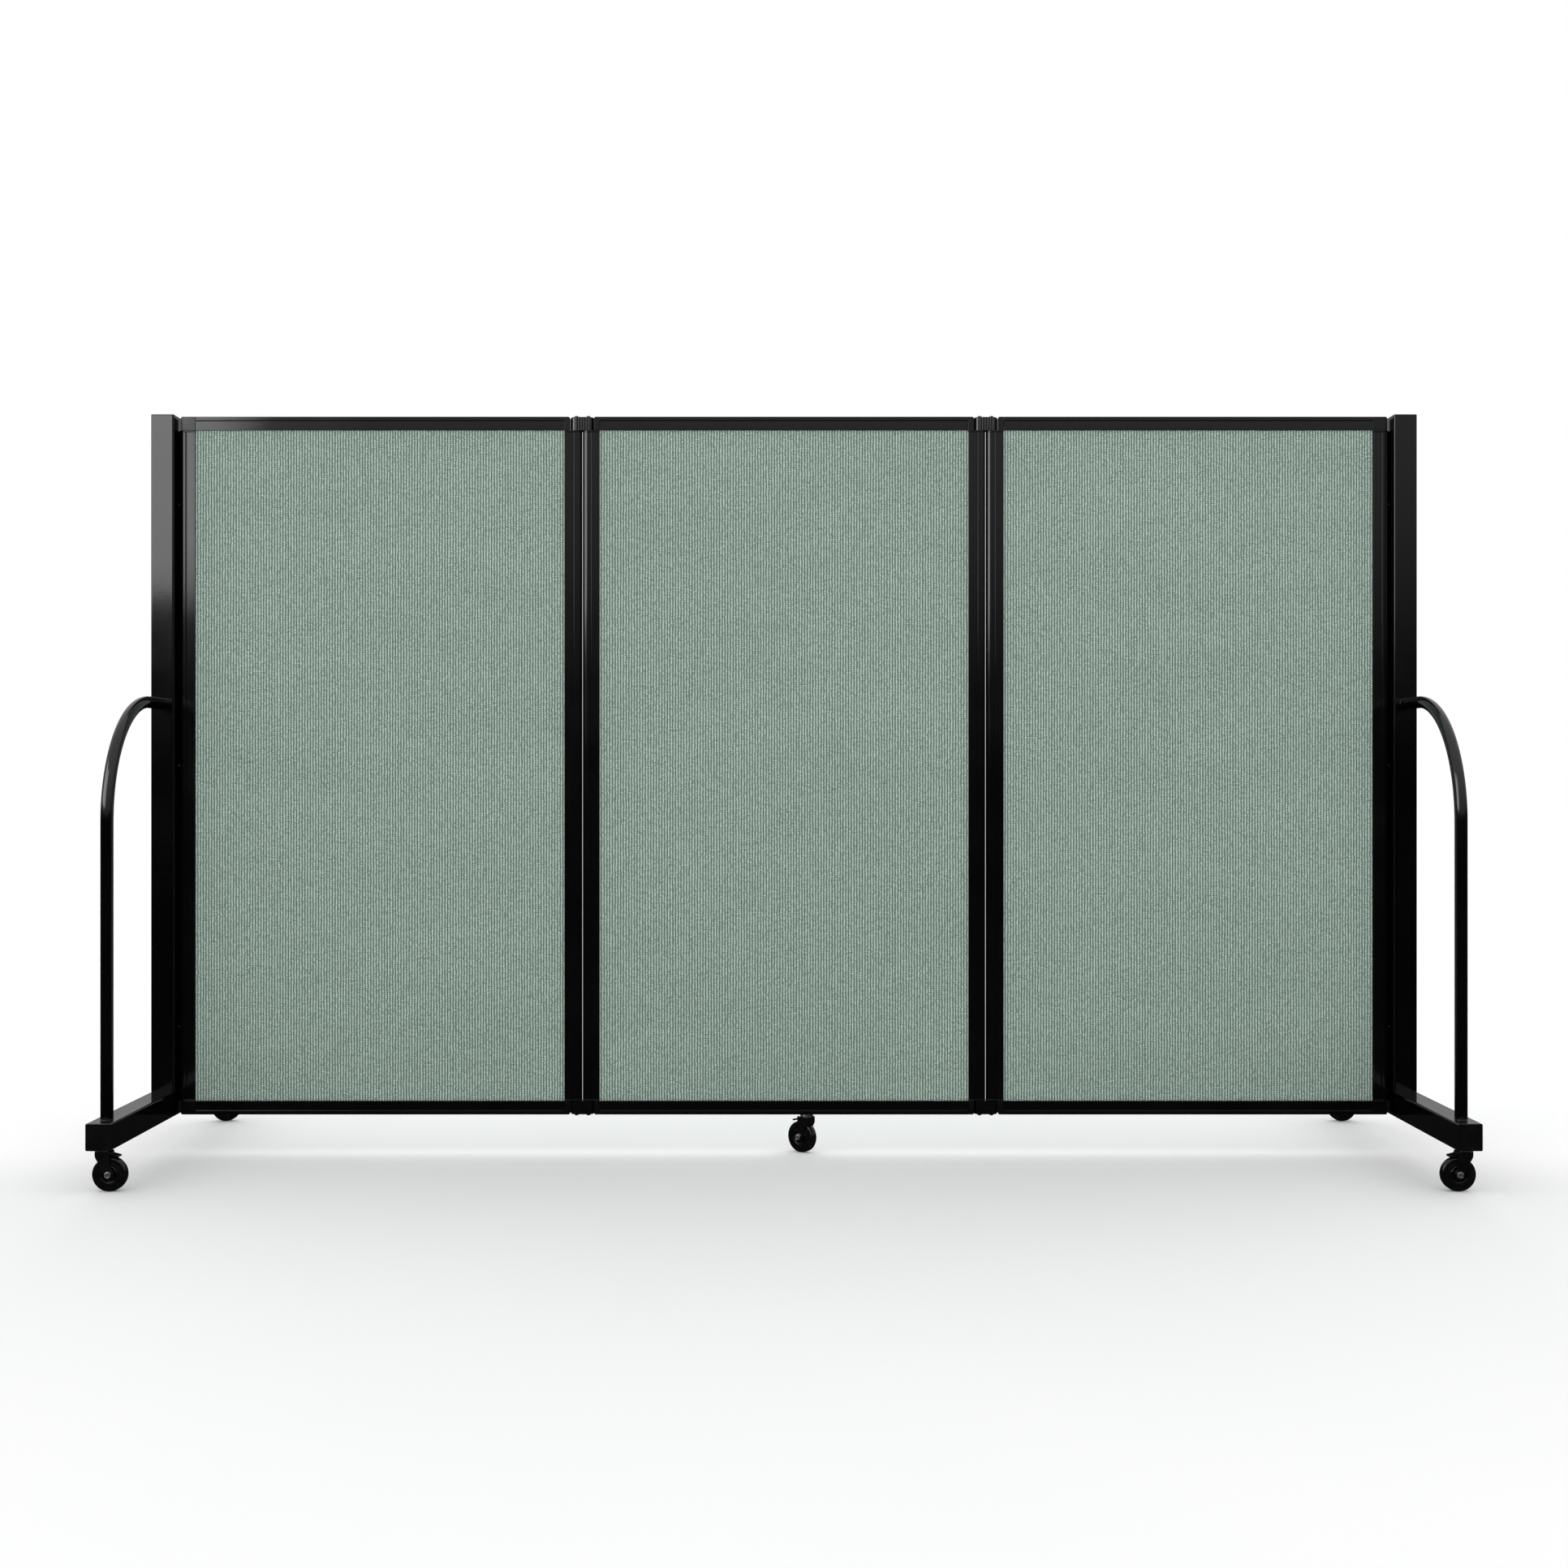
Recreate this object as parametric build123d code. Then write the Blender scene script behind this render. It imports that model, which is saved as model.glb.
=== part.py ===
from build123d import *

import os

# A folding partition wall on casters: three fabric panels joined by double-pin hinges,
# with an end frame (post, foot and two curved handle tubes) at either end.
# Millimetres. +Z is up, +X runs along the wall, and the origin is on the floor at its middle.

# ---- Wall ----
WALL_HEIGHT = 1019.0  # floor to the top of the panels and posts
PANEL_PITCH = 558.8  # width of one panel from hinge line to hinge line
PANEL_THICKNESS = 16.0
HINGE_GAP = 0.5  # between two noses, and between two folded panels
RUNNING_CLEARANCE = 0.05  # on the radius of every pin that turns

# ---- Panel frame ----
STILE_WIDTH = 24.0  # nose tip to the edge of the fabric
STILE_WALL = 1.7
PIN_TO_GROOVE = 0.75  # past the pin to the stile's face groove
STILE_GROOVE_WIDTH = 1.4
RAIL_HEIGHT = 19.0
RAIL_WALL = 1.6
RAIL_GROOVE_AT = 5.4  # from the outer edge of the rail
RAIL_GROOVE_HEIGHT = 1.0
RAIL_CAVITY = 5.0  # height of the closed chamber that takes the corner tongues
GROOVE_DEPTH = 0.9
WEB = 1.6  # wall between a closed chamber and the board slot

# ---- Panel infill ----
BOARD_THICKNESS = 10.0
FABRIC_THICKNESS = 1.2
BOARD_INSERT = 8.0  # how far the board and fabric reach into the frame
SLOT_CLEARANCE = 0.1
BOARD_END_CLEARANCE = 0.2

# ---- Corner caps ----
CAP_PLATE = 2.0  # flange over the end of the stile
CAP_RELIEF = 0.35  # between the cap and the round end of a link block
CAP_SETBACK = 4.0  # nose tip to the cap on the post side
CAP_TOP_RADIUS = 2.5
CAP_BUSH_LENGTH = 28.0
CAP_TONGUE_LENGTH = 20.0
PLUG_CLEARANCE = 0.1

# ---- Hinges ----
LINK_END_GAP = 0.4  # above and below a link block
LINK_EDGE_RADIUS = 1.5
LINK_RIB_PITCH = 3.5
LINK_RIB_COUNT = 7
LINK_GROOVE_WIDTH = 0.8
LINK_GROOVE_DEPTH = 0.5
PIN_RADIUS = 2.25
PIN_LENGTH = 45.0  # under the head
PIN_HEAD_OVERHANG = 0.4
PIN_HEAD_HEIGHT = 2.2

# ---- End frames ----
POST_WIDTH = 31.75
POST_DEPTH = 50.8
POST_CORNER = 2.5
TUBE_WALL = 1.5
FOOT_LENGTH = 539.4
FOOT_HEIGHT = 34.2
FOOT_CORNER = 2.0
CAP_FLANGE = 2.0  # on the plugs that close the post and the foot
CAP_EDGE = 0.8
CAP_PLUG_DEPTH = 12.0
HANDLE_RADIUS = 7.9375
HANDLE_WALL = 1.5
HANDLE_BEND = 158.4  # radius of the bend on the tube's centre line
HANDLE_HEIGHT = 621.0  # centre line of the level run
HANDLE_REACH = 237.7  # wall's mid-plane to the upright run
SCREW_RADIUS = 2.4
SCREW_HEAD_RADIUS = 4.5
SCREW_HEAD_HEIGHT = 3.0
SCREW_REACH = 9.5  # past the post's inner face
SCREW_ACCESS_RADIUS = 5.5
SCREW_INSET = 100.0  # from either end of the stile to the nearest screw

# ---- Casters ----
WHEEL_RADIUS = 21.5
WHEEL_WIDTH = 12.0
TYRE_THICKNESS = 7.0
TYRE_SHOULDER = 2.0
HUB_RADIUS = 5.5
HUB_DISH_RADIUS = 11.0
HUB_DISH_DEPTH = 2.5
HUB_SIDE_GAP = 0.4  # hub to fork leg
WHEEL_SIDE_GAP = 0.8  # tyre to fork leg
WHEEL_TOP_GAP = 1.8  # tyre to the hood of the fork
CASTER_TRAIL = 8.0
CASTER_STAND = 248.0  # wall's mid-plane to the stem of an end caster
CENTRE_CASTER_X = 31.5
LEG_THICKNESS = 2.0
CROWN_THICKNESS = 5.5
FORK_BACK = 10.5  # stem to the back of the fork
FORK_FRONT = 10.0
FORK_PLAN_CORNER = 6.0
AXLE_BOSS_RADIUS = 6.0
AXLE_RADIUS = 2.5
BOLT_HEAD_ACROSS_FLATS = 8.0
BOLT_HEAD_HEIGHT = 3.0
STEM_RADIUS = 4.0
COLLAR_RADIUS = 9.0
COLLAR_THICKNESS = 3.2
SWIVEL_GAP = 0.3  # fork to collar
STEM_NUT_ACROSS_FLATS = 13.0
STEM_NUT_HEIGHT = 6.5
STEM_RISE = 20.0  # above the underside of the foot
NUT_PLATE_LENGTH = 30.0
NUT_PLATE_THICKNESS = 4.0
PEDAL_PIVOT_X = 8.6
PEDAL_PIVOT_DROP = 3.4  # top of the fork to the pedal's pivot
PEDAL_PIVOT_RADIUS = 1.2
PEDAL_BOSS_RADIUS = 2.2
PEDAL_LENGTH = 12.0
PEDAL_THICKNESS = 2.4
PEDAL_SLOPE = 14.7  # degrees below level, released
PEDAL_SIDE_GAP = 0.4
PEDAL_SLOT_GAP = 0.4

# ---- Derived places ----
nose_radius = PANEL_THICKNESS / 2
pin_offset = nose_radius + HINGE_GAP / 2
hinge_x = PANEL_PITCH / 2
post_face_x = 1.5 * PANEL_PITCH
post_x = post_face_x + POST_WIDTH / 2
nose_tip_x = HINGE_GAP / 2  # hinge line to a nose tip
stile_groove_at = nose_radius + PIN_RADIUS + PIN_TO_GROOVE  # from the nose tip
slot_half = BOARD_THICKNESS / 2 + FABRIC_THICKNESS + SLOT_CLEARANCE
stile_web_end = stile_groove_at + STILE_GROOVE_WIDTH
rail_chamber_end = RAIL_WALL + RAIL_CAVITY

fork_top = 2 * WHEEL_RADIUS + WHEEL_TOP_GAP + CROWN_THICKNESS
foot_bottom = fork_top + SWIVEL_GAP + COLLAR_THICKNESS
foot_top = foot_bottom + FOOT_HEIGHT
panel_bottom = foot_bottom  # the panels hang level with the undersides of the feet
fork_half_width = WHEEL_WIDTH / 2 + WHEEL_SIDE_GAP + LEG_THICKNESS
pocket_half_width = fork_half_width - LEG_THICKNESS
stile_bottom = panel_bottom + RAIL_HEIGHT + CAP_PLATE
stile_top = WALL_HEIGHT - RAIL_HEIGHT - CAP_PLATE


def block(x0, x1, y0, y1, z0, z1):
    """A box between two corners."""
    middle = Pos((x0 + x1) / 2, (y0 + y1) / 2, (z0 + z1) / 2)
    return middle * Box(x1 - x0, y1 - y0, z1 - z0)


def rod_x(radius, x0, x1, y, z):
    """A round bar along X."""
    return Pos((x0 + x1) / 2, y, z) * Rot(0, 90, 0) * Cylinder(radius, x1 - x0)


def rod_y(radius, x, y0, y1, z):
    """A round bar along Y."""
    return Pos(x, (y0 + y1) / 2, z) * Rot(90, 0, 0) * Cylinder(radius, y1 - y0)


def rod_z(radius, x, y, z0, z1):
    """A round bar along Z."""
    return Pos(x, y, (z0 + z1) / 2) * Cylinder(radius, z1 - z0)


def hex_y(across_flats, x, y0, y1, z):
    """A hexagonal bar along Y, with a flat on top."""
    hexagon = RegularPolygon(across_flats / 2, 6, major_radius=False, rotation=30)
    return extrude(Plane(origin=(x, y0, z), x_dir=(1, 0, 0), z_dir=(0, 1, 0)) * hexagon, y1 - y0)


def save(name, *solids):
    """Writes one node; several solids stay separate pieces of it."""
    pieces = [piece for shape in solids for piece in shape.solids()]
    node = Compound(children=pieces) if len(pieces) > 1 else pieces[0]
    export_step(node, f"parts/{name}.step")


# ---- Panels ----


def at_end(shape, tip_x, inward):
    """Moves a shape drawn with its nose tip at x = 0 to one end of a panel; inward is +1 or -1."""
    turned = shape if inward > 0 else mirror(shape, Plane.YZ)
    return Pos(tip_x, 0, 0) * turned


def stile_outline():
    """Plan of a stile: a half-round nose, then a flat body, with its tip at x = 0."""
    body_length = STILE_WIDTH - nose_radius
    nose = Pos(nose_radius, 0) * Circle(nose_radius)
    body = Pos(nose_radius + body_length / 2, 0) * Rectangle(body_length, PANEL_THICKNESS)
    return nose + body


def stile_chamber(shrink):
    """Plan of the round chamber inside the nose."""
    radius = nose_radius - STILE_WALL - shrink
    reach = stile_groove_at - shrink
    keep = Pos(reach / 2, 0) * Rectangle(reach, PANEL_THICKNESS)
    return Pos(nose_radius, 0) * Circle(radius) & keep


def stile_section():
    """Plan of the hollow stile, with its board slot and its two face grooves."""
    section = stile_outline() - stile_chamber(0)
    slot_length = STILE_WIDTH - stile_web_end
    section -= Pos(stile_web_end + slot_length / 2, 0) * Rectangle(slot_length, 2 * slot_half)
    groove = Rectangle(STILE_GROOVE_WIDTH, 2 * GROOVE_DEPTH)
    for side in (-1, 1):
        section -= Pos(stile_groove_at + STILE_GROOVE_WIDTH / 2, side * nose_radius) * groove
    return section


def screw_heights():
    """Heights of the screws that hold a panel to its post."""
    low = stile_bottom + SCREW_INSET
    high = stile_top - SCREW_INSET
    return (low, (low + high) / 2, high)


def stile(tip_x, inward, screwed):
    """One upright of a panel."""
    upright = extrude(Pos(0, 0, stile_bottom) * stile_section(), stile_top - stile_bottom)
    if screwed:
        for z in screw_heights():
            upright -= rod_x(SCREW_RADIUS, -1, nose_radius, 0, z)
    return at_end(upright, tip_x, inward)


def rail(x0, x1):
    """A top rail along X: a closed chamber over the board slot. Its top is at z = 0."""
    outer = block(x0, x1, -nose_radius, nose_radius, -RAIL_HEIGHT, 0)
    chamber_half = nose_radius - STILE_WALL
    outer -= block(x0, x1, -chamber_half, chamber_half, -rail_chamber_end, -RAIL_WALL)
    outer -= block(x0, x1, -slot_half, slot_half, -RAIL_HEIGHT, -rail_chamber_end - WEB)
    low = -RAIL_GROOVE_AT - RAIL_GROOVE_HEIGHT
    for side in (-1, 1):
        face = side * nose_radius
        outer -= block(x0, x1, face - GROOVE_DEPTH, face + GROOVE_DEPTH, low, -RAIL_GROOVE_AT)
    return outer


def corner_cap(hinged):
    """A moulded top corner with its nose tip at x = 0 and its top at z = 0."""
    start = 2 * nose_radius + CAP_RELIEF if hinged else CAP_SETBACK
    body = block(start, STILE_WIDTH, -nose_radius, nose_radius, -RAIL_HEIGHT, 0)
    top_edges = body.edges().filter_by(Axis.Y).group_by(Axis.Z)[-1]
    body = fillet(top_edges.sort_by(Axis.X)[0], CAP_TOP_RADIUS)
    plate_bottom = -RAIL_HEIGHT - CAP_PLATE
    body += extrude(Pos(0, 0, plate_bottom) * stile_outline(), CAP_PLATE)
    bush = Pos(0, 0, plate_bottom - CAP_BUSH_LENGTH) * stile_chamber(PLUG_CLEARANCE)
    body += extrude(bush, CAP_BUSH_LENGTH)
    half = nose_radius - STILE_WALL - PLUG_CLEARANCE
    low = -rail_chamber_end + PLUG_CLEARANCE
    high = -RAIL_WALL - PLUG_CLEARANCE
    body += block(STILE_WIDTH, STILE_WIDTH + CAP_TONGUE_LENGTH, -half, half, low, high)
    if hinged:
        bore_bottom = plate_bottom - CAP_BUSH_LENGTH
        bore = rod_z(PIN_RADIUS + RUNNING_CLEARANCE, nose_radius, 0, bore_bottom, 0)
        body -= bore
    return body


def top_and_bottom(shape):
    """A shape drawn with its top at z = 0, at the top of the panel and flipped at the bottom."""
    return Pos(0, 0, WALL_HEIGHT) * shape, Pos(0, 0, panel_bottom) * mirror(shape, Plane.XY)


def infill(x0, x1, y0, y1):
    """A sheet that fills the panel's opening, notched at its corners round the caps."""
    low = panel_bottom + RAIL_HEIGHT
    high = WALL_HEIGHT - RAIL_HEIGHT
    ease = BOARD_END_CLEARANCE
    wide = block(
        x0 - BOARD_INSERT, x1 + BOARD_INSERT, y0, y1, stile_bottom + ease, stile_top - ease
    )
    tall = block(x0 + ease, x1 - ease, y0, y1, low - BOARD_INSERT, high + BOARD_INSERT)
    return wide + tall


def make_panel(name, x0, x1, low_hinged, high_hinged):
    """All pieces of one panel between the nose tips x0 and x1."""
    opening = (x0 + STILE_WIDTH, x1 - STILE_WIDTH)
    save(
        f"{name}_stiles",
        stile(x0, 1, not low_hinged),
        stile(x1, -1, not high_hinged),
    )
    top_rail, bottom_rail = top_and_bottom(rail(*opening))
    if name == "centre":
        bottom_rail -= rod_z(
            STEM_RADIUS, CENTRE_CASTER_X, 0, panel_bottom, panel_bottom + 2 * RAIL_WALL
        )
    save(f"{name}_top_rail", top_rail)
    save(f"{name}_bottom_rail", bottom_rail)
    low_caps = top_and_bottom(at_end(corner_cap(low_hinged), x0, 1))
    high_caps = top_and_bottom(at_end(corner_cap(high_hinged), x1, -1))
    save(f"{name}_corner_caps", *low_caps, *high_caps)
    half_board = BOARD_THICKNESS / 2
    outer = half_board + FABRIC_THICKNESS
    save(f"{name}_core_board", infill(*opening, -half_board, half_board))
    save(f"{name}_panel_front_fabric", infill(*opening, -outer, -half_board))
    save(f"{name}_panel_back_fabric", infill(*opening, half_board, outer))


# ---- Hinges ----


def link_block():
    """A ribbed block with two pin holes, centred on the hinge line, with its top at z = 0."""
    height = RAIL_HEIGHT - LINK_END_GAP
    plan = SlotCenterToCenter(2 * pin_offset, 2 * nose_radius)
    link = extrude(Pos(0, 0, -height) * plan, height)
    link = fillet(link.edges().group_by(Axis.Z)[-1], LINK_EDGE_RADIUS)
    for number in range(LINK_RIB_COUNT - 1):
        x = (number + 1 - LINK_RIB_COUNT / 2) * LINK_RIB_PITCH
        over = max(abs(x) - pin_offset, 0)
        face = (nose_radius**2 - over**2) ** 0.5
        for side in (-1, 1):
            y0, y1 = sorted((side * (face - LINK_GROOVE_DEPTH), side * (nose_radius + 1)))
            half = LINK_GROOVE_WIDTH / 2
            link -= block(x - half, x + half, y0, y1, -height, 0)
    for side in (-1, 1):
        link -= rod_z(PIN_RADIUS, side * pin_offset, 0, -height, 0)
    return link


def hinge_pin():
    """A headed pin that hangs from z = 0."""
    head = fillet(
        rod_z(PIN_RADIUS + PIN_HEAD_OVERHANG, 0, 0, 0, PIN_HEAD_HEIGHT).edges().group_by(Axis.Z)[-1],
        PIN_HEAD_HEIGHT / 3,
    )
    return head + rod_z(PIN_RADIUS, 0, 0, -PIN_LENGTH, 0)


def make_hinge(name, x):
    """Two link blocks and four pins on one hinge line."""
    save(f"{name}_link_blocks", *top_and_bottom(Pos(x, 0, 0) * link_block()))
    pins = []
    for side in (-1, 1):
        pins += top_and_bottom(Pos(x + side * pin_offset, 0, 0) * hinge_pin())
    save(f"{name}_hinge_pins", *pins)


# ---- End frames, drawn at the +X end ----


def plug(width, depth, corner):
    """A tube plug with its flange from z = 0 to CAP_FLANGE and its body below."""
    flange = extrude(RectangleRounded(width, depth, corner), CAP_FLANGE)
    flange = fillet(flange.edges().group_by(Axis.Z)[-1], CAP_EDGE)
    inset = 2 * (TUBE_WALL + PLUG_CLEARANCE)
    body = Pos(0, 0, -CAP_PLUG_DEPTH) * RectangleRounded(width - inset, depth - inset, 0.8)
    return flange + extrude(body, CAP_PLUG_DEPTH)


def square_tube(width, depth, corner, length):
    """A rectangular tube along Z from z = 0."""
    inner_corner = max(corner - TUBE_WALL, 0.4)
    section = RectangleRounded(width, depth, corner)
    section -= RectangleRounded(width - 2 * TUBE_WALL, depth - 2 * TUBE_WALL, inner_corner)
    return extrude(section, length)


def post():
    """The upright tube, with screw holes to the panel and access holes opposite."""
    length = WALL_HEIGHT - CAP_FLANGE - foot_top
    tube = Pos(post_x, 0, foot_top) * square_tube(POST_WIDTH, POST_DEPTH, POST_CORNER, length)
    for z in screw_heights():
        tube -= rod_x(SCREW_RADIUS, post_face_x, post_x, 0, z)
        tube -= rod_x(SCREW_ACCESS_RADIUS, post_x, post_face_x + POST_WIDTH, 0, z)
    return tube


def foot():
    """The floor beam across the wall, with a hole for each caster stem."""
    length = FOOT_LENGTH - 2 * CAP_FLANGE
    tube = square_tube(POST_WIDTH, FOOT_HEIGHT, FOOT_CORNER, length)
    middle_z = foot_bottom + FOOT_HEIGHT / 2
    beam = Pos(post_x, length / 2, middle_z) * Rot(90, 0, 0) * tube
    for side in (-1, 1):
        beam -= rod_z(
            STEM_RADIUS, post_x, side * CASTER_STAND, foot_bottom, foot_bottom + 2 * TUBE_WALL
        )
    return beam


def tube_plugs():
    """The plug on top of the post, then the two in the ends of the foot."""
    end_y = FOOT_LENGTH / 2 - CAP_FLANGE
    middle_z = foot_bottom + FOOT_HEIGHT / 2
    foot_plug = plug(POST_WIDTH, FOOT_HEIGHT, FOOT_CORNER)
    return (
        Pos(post_x, 0, WALL_HEIGHT - CAP_FLANGE) * plug(POST_WIDTH, POST_DEPTH, POST_CORNER),
        Pos(post_x, -end_y, middle_z) * Rot(90, 0, 0) * foot_plug,
        Pos(post_x, end_y, middle_z) * Rot(-90, 0, 0) * foot_plug,
    )


def handle(side):
    """A bent tube from the face of the post down to the foot; side is -1 (front) or +1."""
    start = (post_x, side * POST_DEPTH / 2, HANDLE_HEIGHT)
    corner = (post_x, side * HANDLE_REACH, HANDLE_HEIGHT)
    end = (post_x, side * HANDLE_REACH, foot_top)
    path = FilletPolyline(start, corner, end, radius=HANDLE_BEND)
    ring = Circle(HANDLE_RADIUS) - Circle(HANDLE_RADIUS - HANDLE_WALL)
    return sweep(Plane(origin=start, z_dir=(0, side, 0)) * ring, path)


def panel_screws():
    """Screws from inside the post into the nose of the panel."""
    seat = post_face_x + TUBE_WALL
    return [
        rod_x(SCREW_RADIUS, post_face_x - SCREW_REACH, seat, 0, z)
        + rod_x(SCREW_HEAD_RADIUS, seat, seat + SCREW_HEAD_HEIGHT, 0, z)
        for z in screw_heights()
    ]


def make_end_frame(name, mirrored):
    """Post, foot, plugs, handles, screws and caster stems of one end."""
    stems = []
    for side in (-1, 1):
        stems += [Pos(post_x, side * CASTER_STAND, 0) * piece for piece in foot_stem()]
    nodes = {
        "post": [post()],
        "foot": [foot()],
        "tube_plugs": tube_plugs(),
        "handles": [handle(-1), handle(1)],
        "panel_screws": panel_screws(),
        "caster_stems": stems,
    }
    for piece, shapes in nodes.items():
        placed = [mirror(shape, Plane.YZ) if mirrored else shape for shape in shapes]
        save(f"{name}_{piece}", *placed)


# ---- Casters, drawn with the stem on Z, the floor at z = 0 and the wheel trailing along +X ----


def stem(underside, rise):
    """A stem with a collar under the surface that it hangs from."""
    collar = rod_z(COLLAR_RADIUS, 0, 0, fork_top + SWIVEL_GAP, underside)
    return collar + rod_z(STEM_RADIUS, 0, 0, fork_top - CROWN_THICKNESS + 1, underside + rise)


def foot_stem():
    """A stem and its nut inside the foot."""
    nut_bottom = foot_bottom + TUBE_WALL
    hexagon = RegularPolygon(STEM_NUT_ACROSS_FLATS / 2, 6, major_radius=False)
    nut = extrude(Pos(0, 0, nut_bottom) * (hexagon - Circle(STEM_RADIUS)), STEM_NUT_HEIGHT)
    return [stem(foot_bottom, STEM_RISE), nut]


def centre_stem():
    """The middle caster's stem and its nut plate inside the bottom rail."""
    plate_bottom = panel_bottom + RAIL_WALL
    half = nose_radius - STILE_WALL - PLUG_CLEARANCE
    plate = block(
        -NUT_PLATE_LENGTH / 2,
        NUT_PLATE_LENGTH / 2,
        -half,
        half,
        plate_bottom,
        plate_bottom + NUT_PLATE_THICKNESS,
    )
    plate -= rod_z(STEM_RADIUS, 0, 0, plate_bottom, plate_bottom + NUT_PLATE_THICKNESS)
    return [stem(panel_bottom, RAIL_WALL + NUT_PLATE_THICKNESS), plate]


def fork():
    """Two legs under a hood, cut from one side outline and rounded in plan."""
    crown_bottom = fork_top - CROWN_THICKNESS
    waist_z = WHEEL_RADIUS + 0.75 * WHEEL_RADIUS
    outline = Polygon(
        (-FORK_BACK, fork_top),
        (-FORK_BACK, crown_bottom),
        (-FORK_BACK / 2, waist_z),
        (CASTER_TRAIL - AXLE_BOSS_RADIUS, WHEEL_RADIUS),
        (CASTER_TRAIL + AXLE_BOSS_RADIUS, WHEEL_RADIUS),
        (FORK_FRONT, 1.5 * WHEEL_RADIUS),
        (FORK_FRONT, fork_top),
        align=None,
    )
    outline += Pos(CASTER_TRAIL, WHEEL_RADIUS) * Circle(AXLE_BOSS_RADIUS)
    front = Plane(origin=(0, fork_half_width, 0), x_dir=(1, 0, 0), z_dir=(0, -1, 0))
    body = extrude(front * outline, 2 * fork_half_width)
    reach = CASTER_TRAIL + AXLE_BOSS_RADIUS
    plan = Pos((reach - FORK_BACK) / 2, 0) * RectangleRounded(
        reach + FORK_BACK, 2 * fork_half_width, FORK_PLAN_CORNER
    )
    front_half = Pos(reach / 2, 0) * Rectangle(reach, 2 * fork_half_width)
    body &= extrude(plan + front_half, fork_top)
    pocket = WHEEL_RADIUS + WHEEL_TOP_GAP
    body -= rod_y(pocket, CASTER_TRAIL, -pocket_half_width, pocket_half_width, WHEEL_RADIUS)
    slot_start = PEDAL_PIVOT_X - PEDAL_BOSS_RADIUS - PEDAL_SLOT_GAP
    body -= block(
        slot_start, reach, -pocket_half_width, pocket_half_width, WHEEL_RADIUS, fork_top
    )
    body -= rod_y(AXLE_RADIUS, CASTER_TRAIL, -fork_half_width, fork_half_width, WHEEL_RADIUS)
    body -= rod_y(
        PEDAL_PIVOT_RADIUS + RUNNING_CLEARANCE,
        PEDAL_PIVOT_X,
        -fork_half_width,
        fork_half_width,
        fork_top - PEDAL_PIVOT_DROP,
    )
    body -= rod_z(STEM_RADIUS + RUNNING_CLEARANCE, 0, 0, crown_bottom - 5, fork_top)
    return body


def axle_bolt(head_side):
    """A hexagon bolt through the fork, and its nut; head_side is -1 or +1 along Y."""
    face = head_side * fork_half_width
    shank_end = -face - head_side * (BOLT_HEAD_HEIGHT + 1)
    y0, y1 = sorted((face, shank_end))
    head_y = sorted((face, face + head_side * BOLT_HEAD_HEIGHT))
    nut_y = sorted((-face, -face - head_side * BOLT_HEAD_HEIGHT))
    shank = rod_y(AXLE_RADIUS, CASTER_TRAIL, y0, y1, WHEEL_RADIUS)
    bolt = shank + hex_y(BOLT_HEAD_ACROSS_FLATS, CASTER_TRAIL, *head_y, WHEEL_RADIUS)
    nut = hex_y(BOLT_HEAD_ACROSS_FLATS, CASTER_TRAIL, *nut_y, WHEEL_RADIUS) - shank
    return [bolt, nut]


def wheel():
    """A dished hub and the tyre round it."""
    core_radius = WHEEL_RADIUS - TYRE_THICKNESS
    half = WHEEL_WIDTH / 2
    hub_half = pocket_half_width - HUB_SIDE_GAP
    hub = rod_y(core_radius, 0, -half, half, 0)
    for side in (-1, 1):
        y0, y1 = sorted((side * (half - HUB_DISH_DEPTH), side * half))
        hub -= rod_y(HUB_DISH_RADIUS, 0, y0, y1, 0)
    hub += rod_y(HUB_RADIUS, 0, -hub_half, hub_half, 0)
    hub -= rod_y(AXLE_RADIUS + RUNNING_CLEARANCE, 0, -hub_half, hub_half, 0)
    tyre = rod_y(WHEEL_RADIUS, 0, -half, half, 0)
    tyre = fillet(tyre.edges().filter_by(GeomType.CIRCLE), TYRE_SHOULDER)
    tyre -= rod_y(core_radius, 0, -half, half, 0)
    place = Pos(CASTER_TRAIL, 0, WHEEL_RADIUS)
    return [place * hub, place * tyre]


def brake_pedal():
    """A lever that turns on its own pivot pin between the fork legs."""
    pivot_z = fork_top - PEDAL_PIVOT_DROP
    half = pocket_half_width - PEDAL_SIDE_GAP
    pin_half = fork_half_width - PEDAL_SIDE_GAP
    lever = block(0, PEDAL_LENGTH, -half, half, -PEDAL_THICKNESS / 2, PEDAL_THICKNESS / 2)
    tip = lever.edges().filter_by(Axis.Y).group_by(Axis.X)[-1]
    lever = fillet(tip, PEDAL_THICKNESS / 3)
    pedal = Rot(0, PEDAL_SLOPE, 0) * lever
    pedal += rod_y(PEDAL_BOSS_RADIUS, 0, -half, half, 0)
    pedal += rod_y(PEDAL_PIVOT_RADIUS, 0, -pin_half, pin_half, 0)
    return Pos(PEDAL_PIVOT_X, 0, pivot_z) * pedal


def make_caster(name, x, y, heading, head_side):
    """One swivel caster; heading is the way that its wheel trails, in degrees from +X."""
    place = Pos(x, y, 0) * Rot(0, 0, heading)
    save(f"{name}_caster_fork", place * fork())
    save(f"{name}_caster_axle_bolt", *[place * piece for piece in axle_bolt(head_side)])
    save(f"{name}_caster_wheel", *[place * piece for piece in wheel()])
    save(f"{name}_caster_brake_pedal", place * brake_pedal())


os.makedirs("parts", exist_ok=True)

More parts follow.
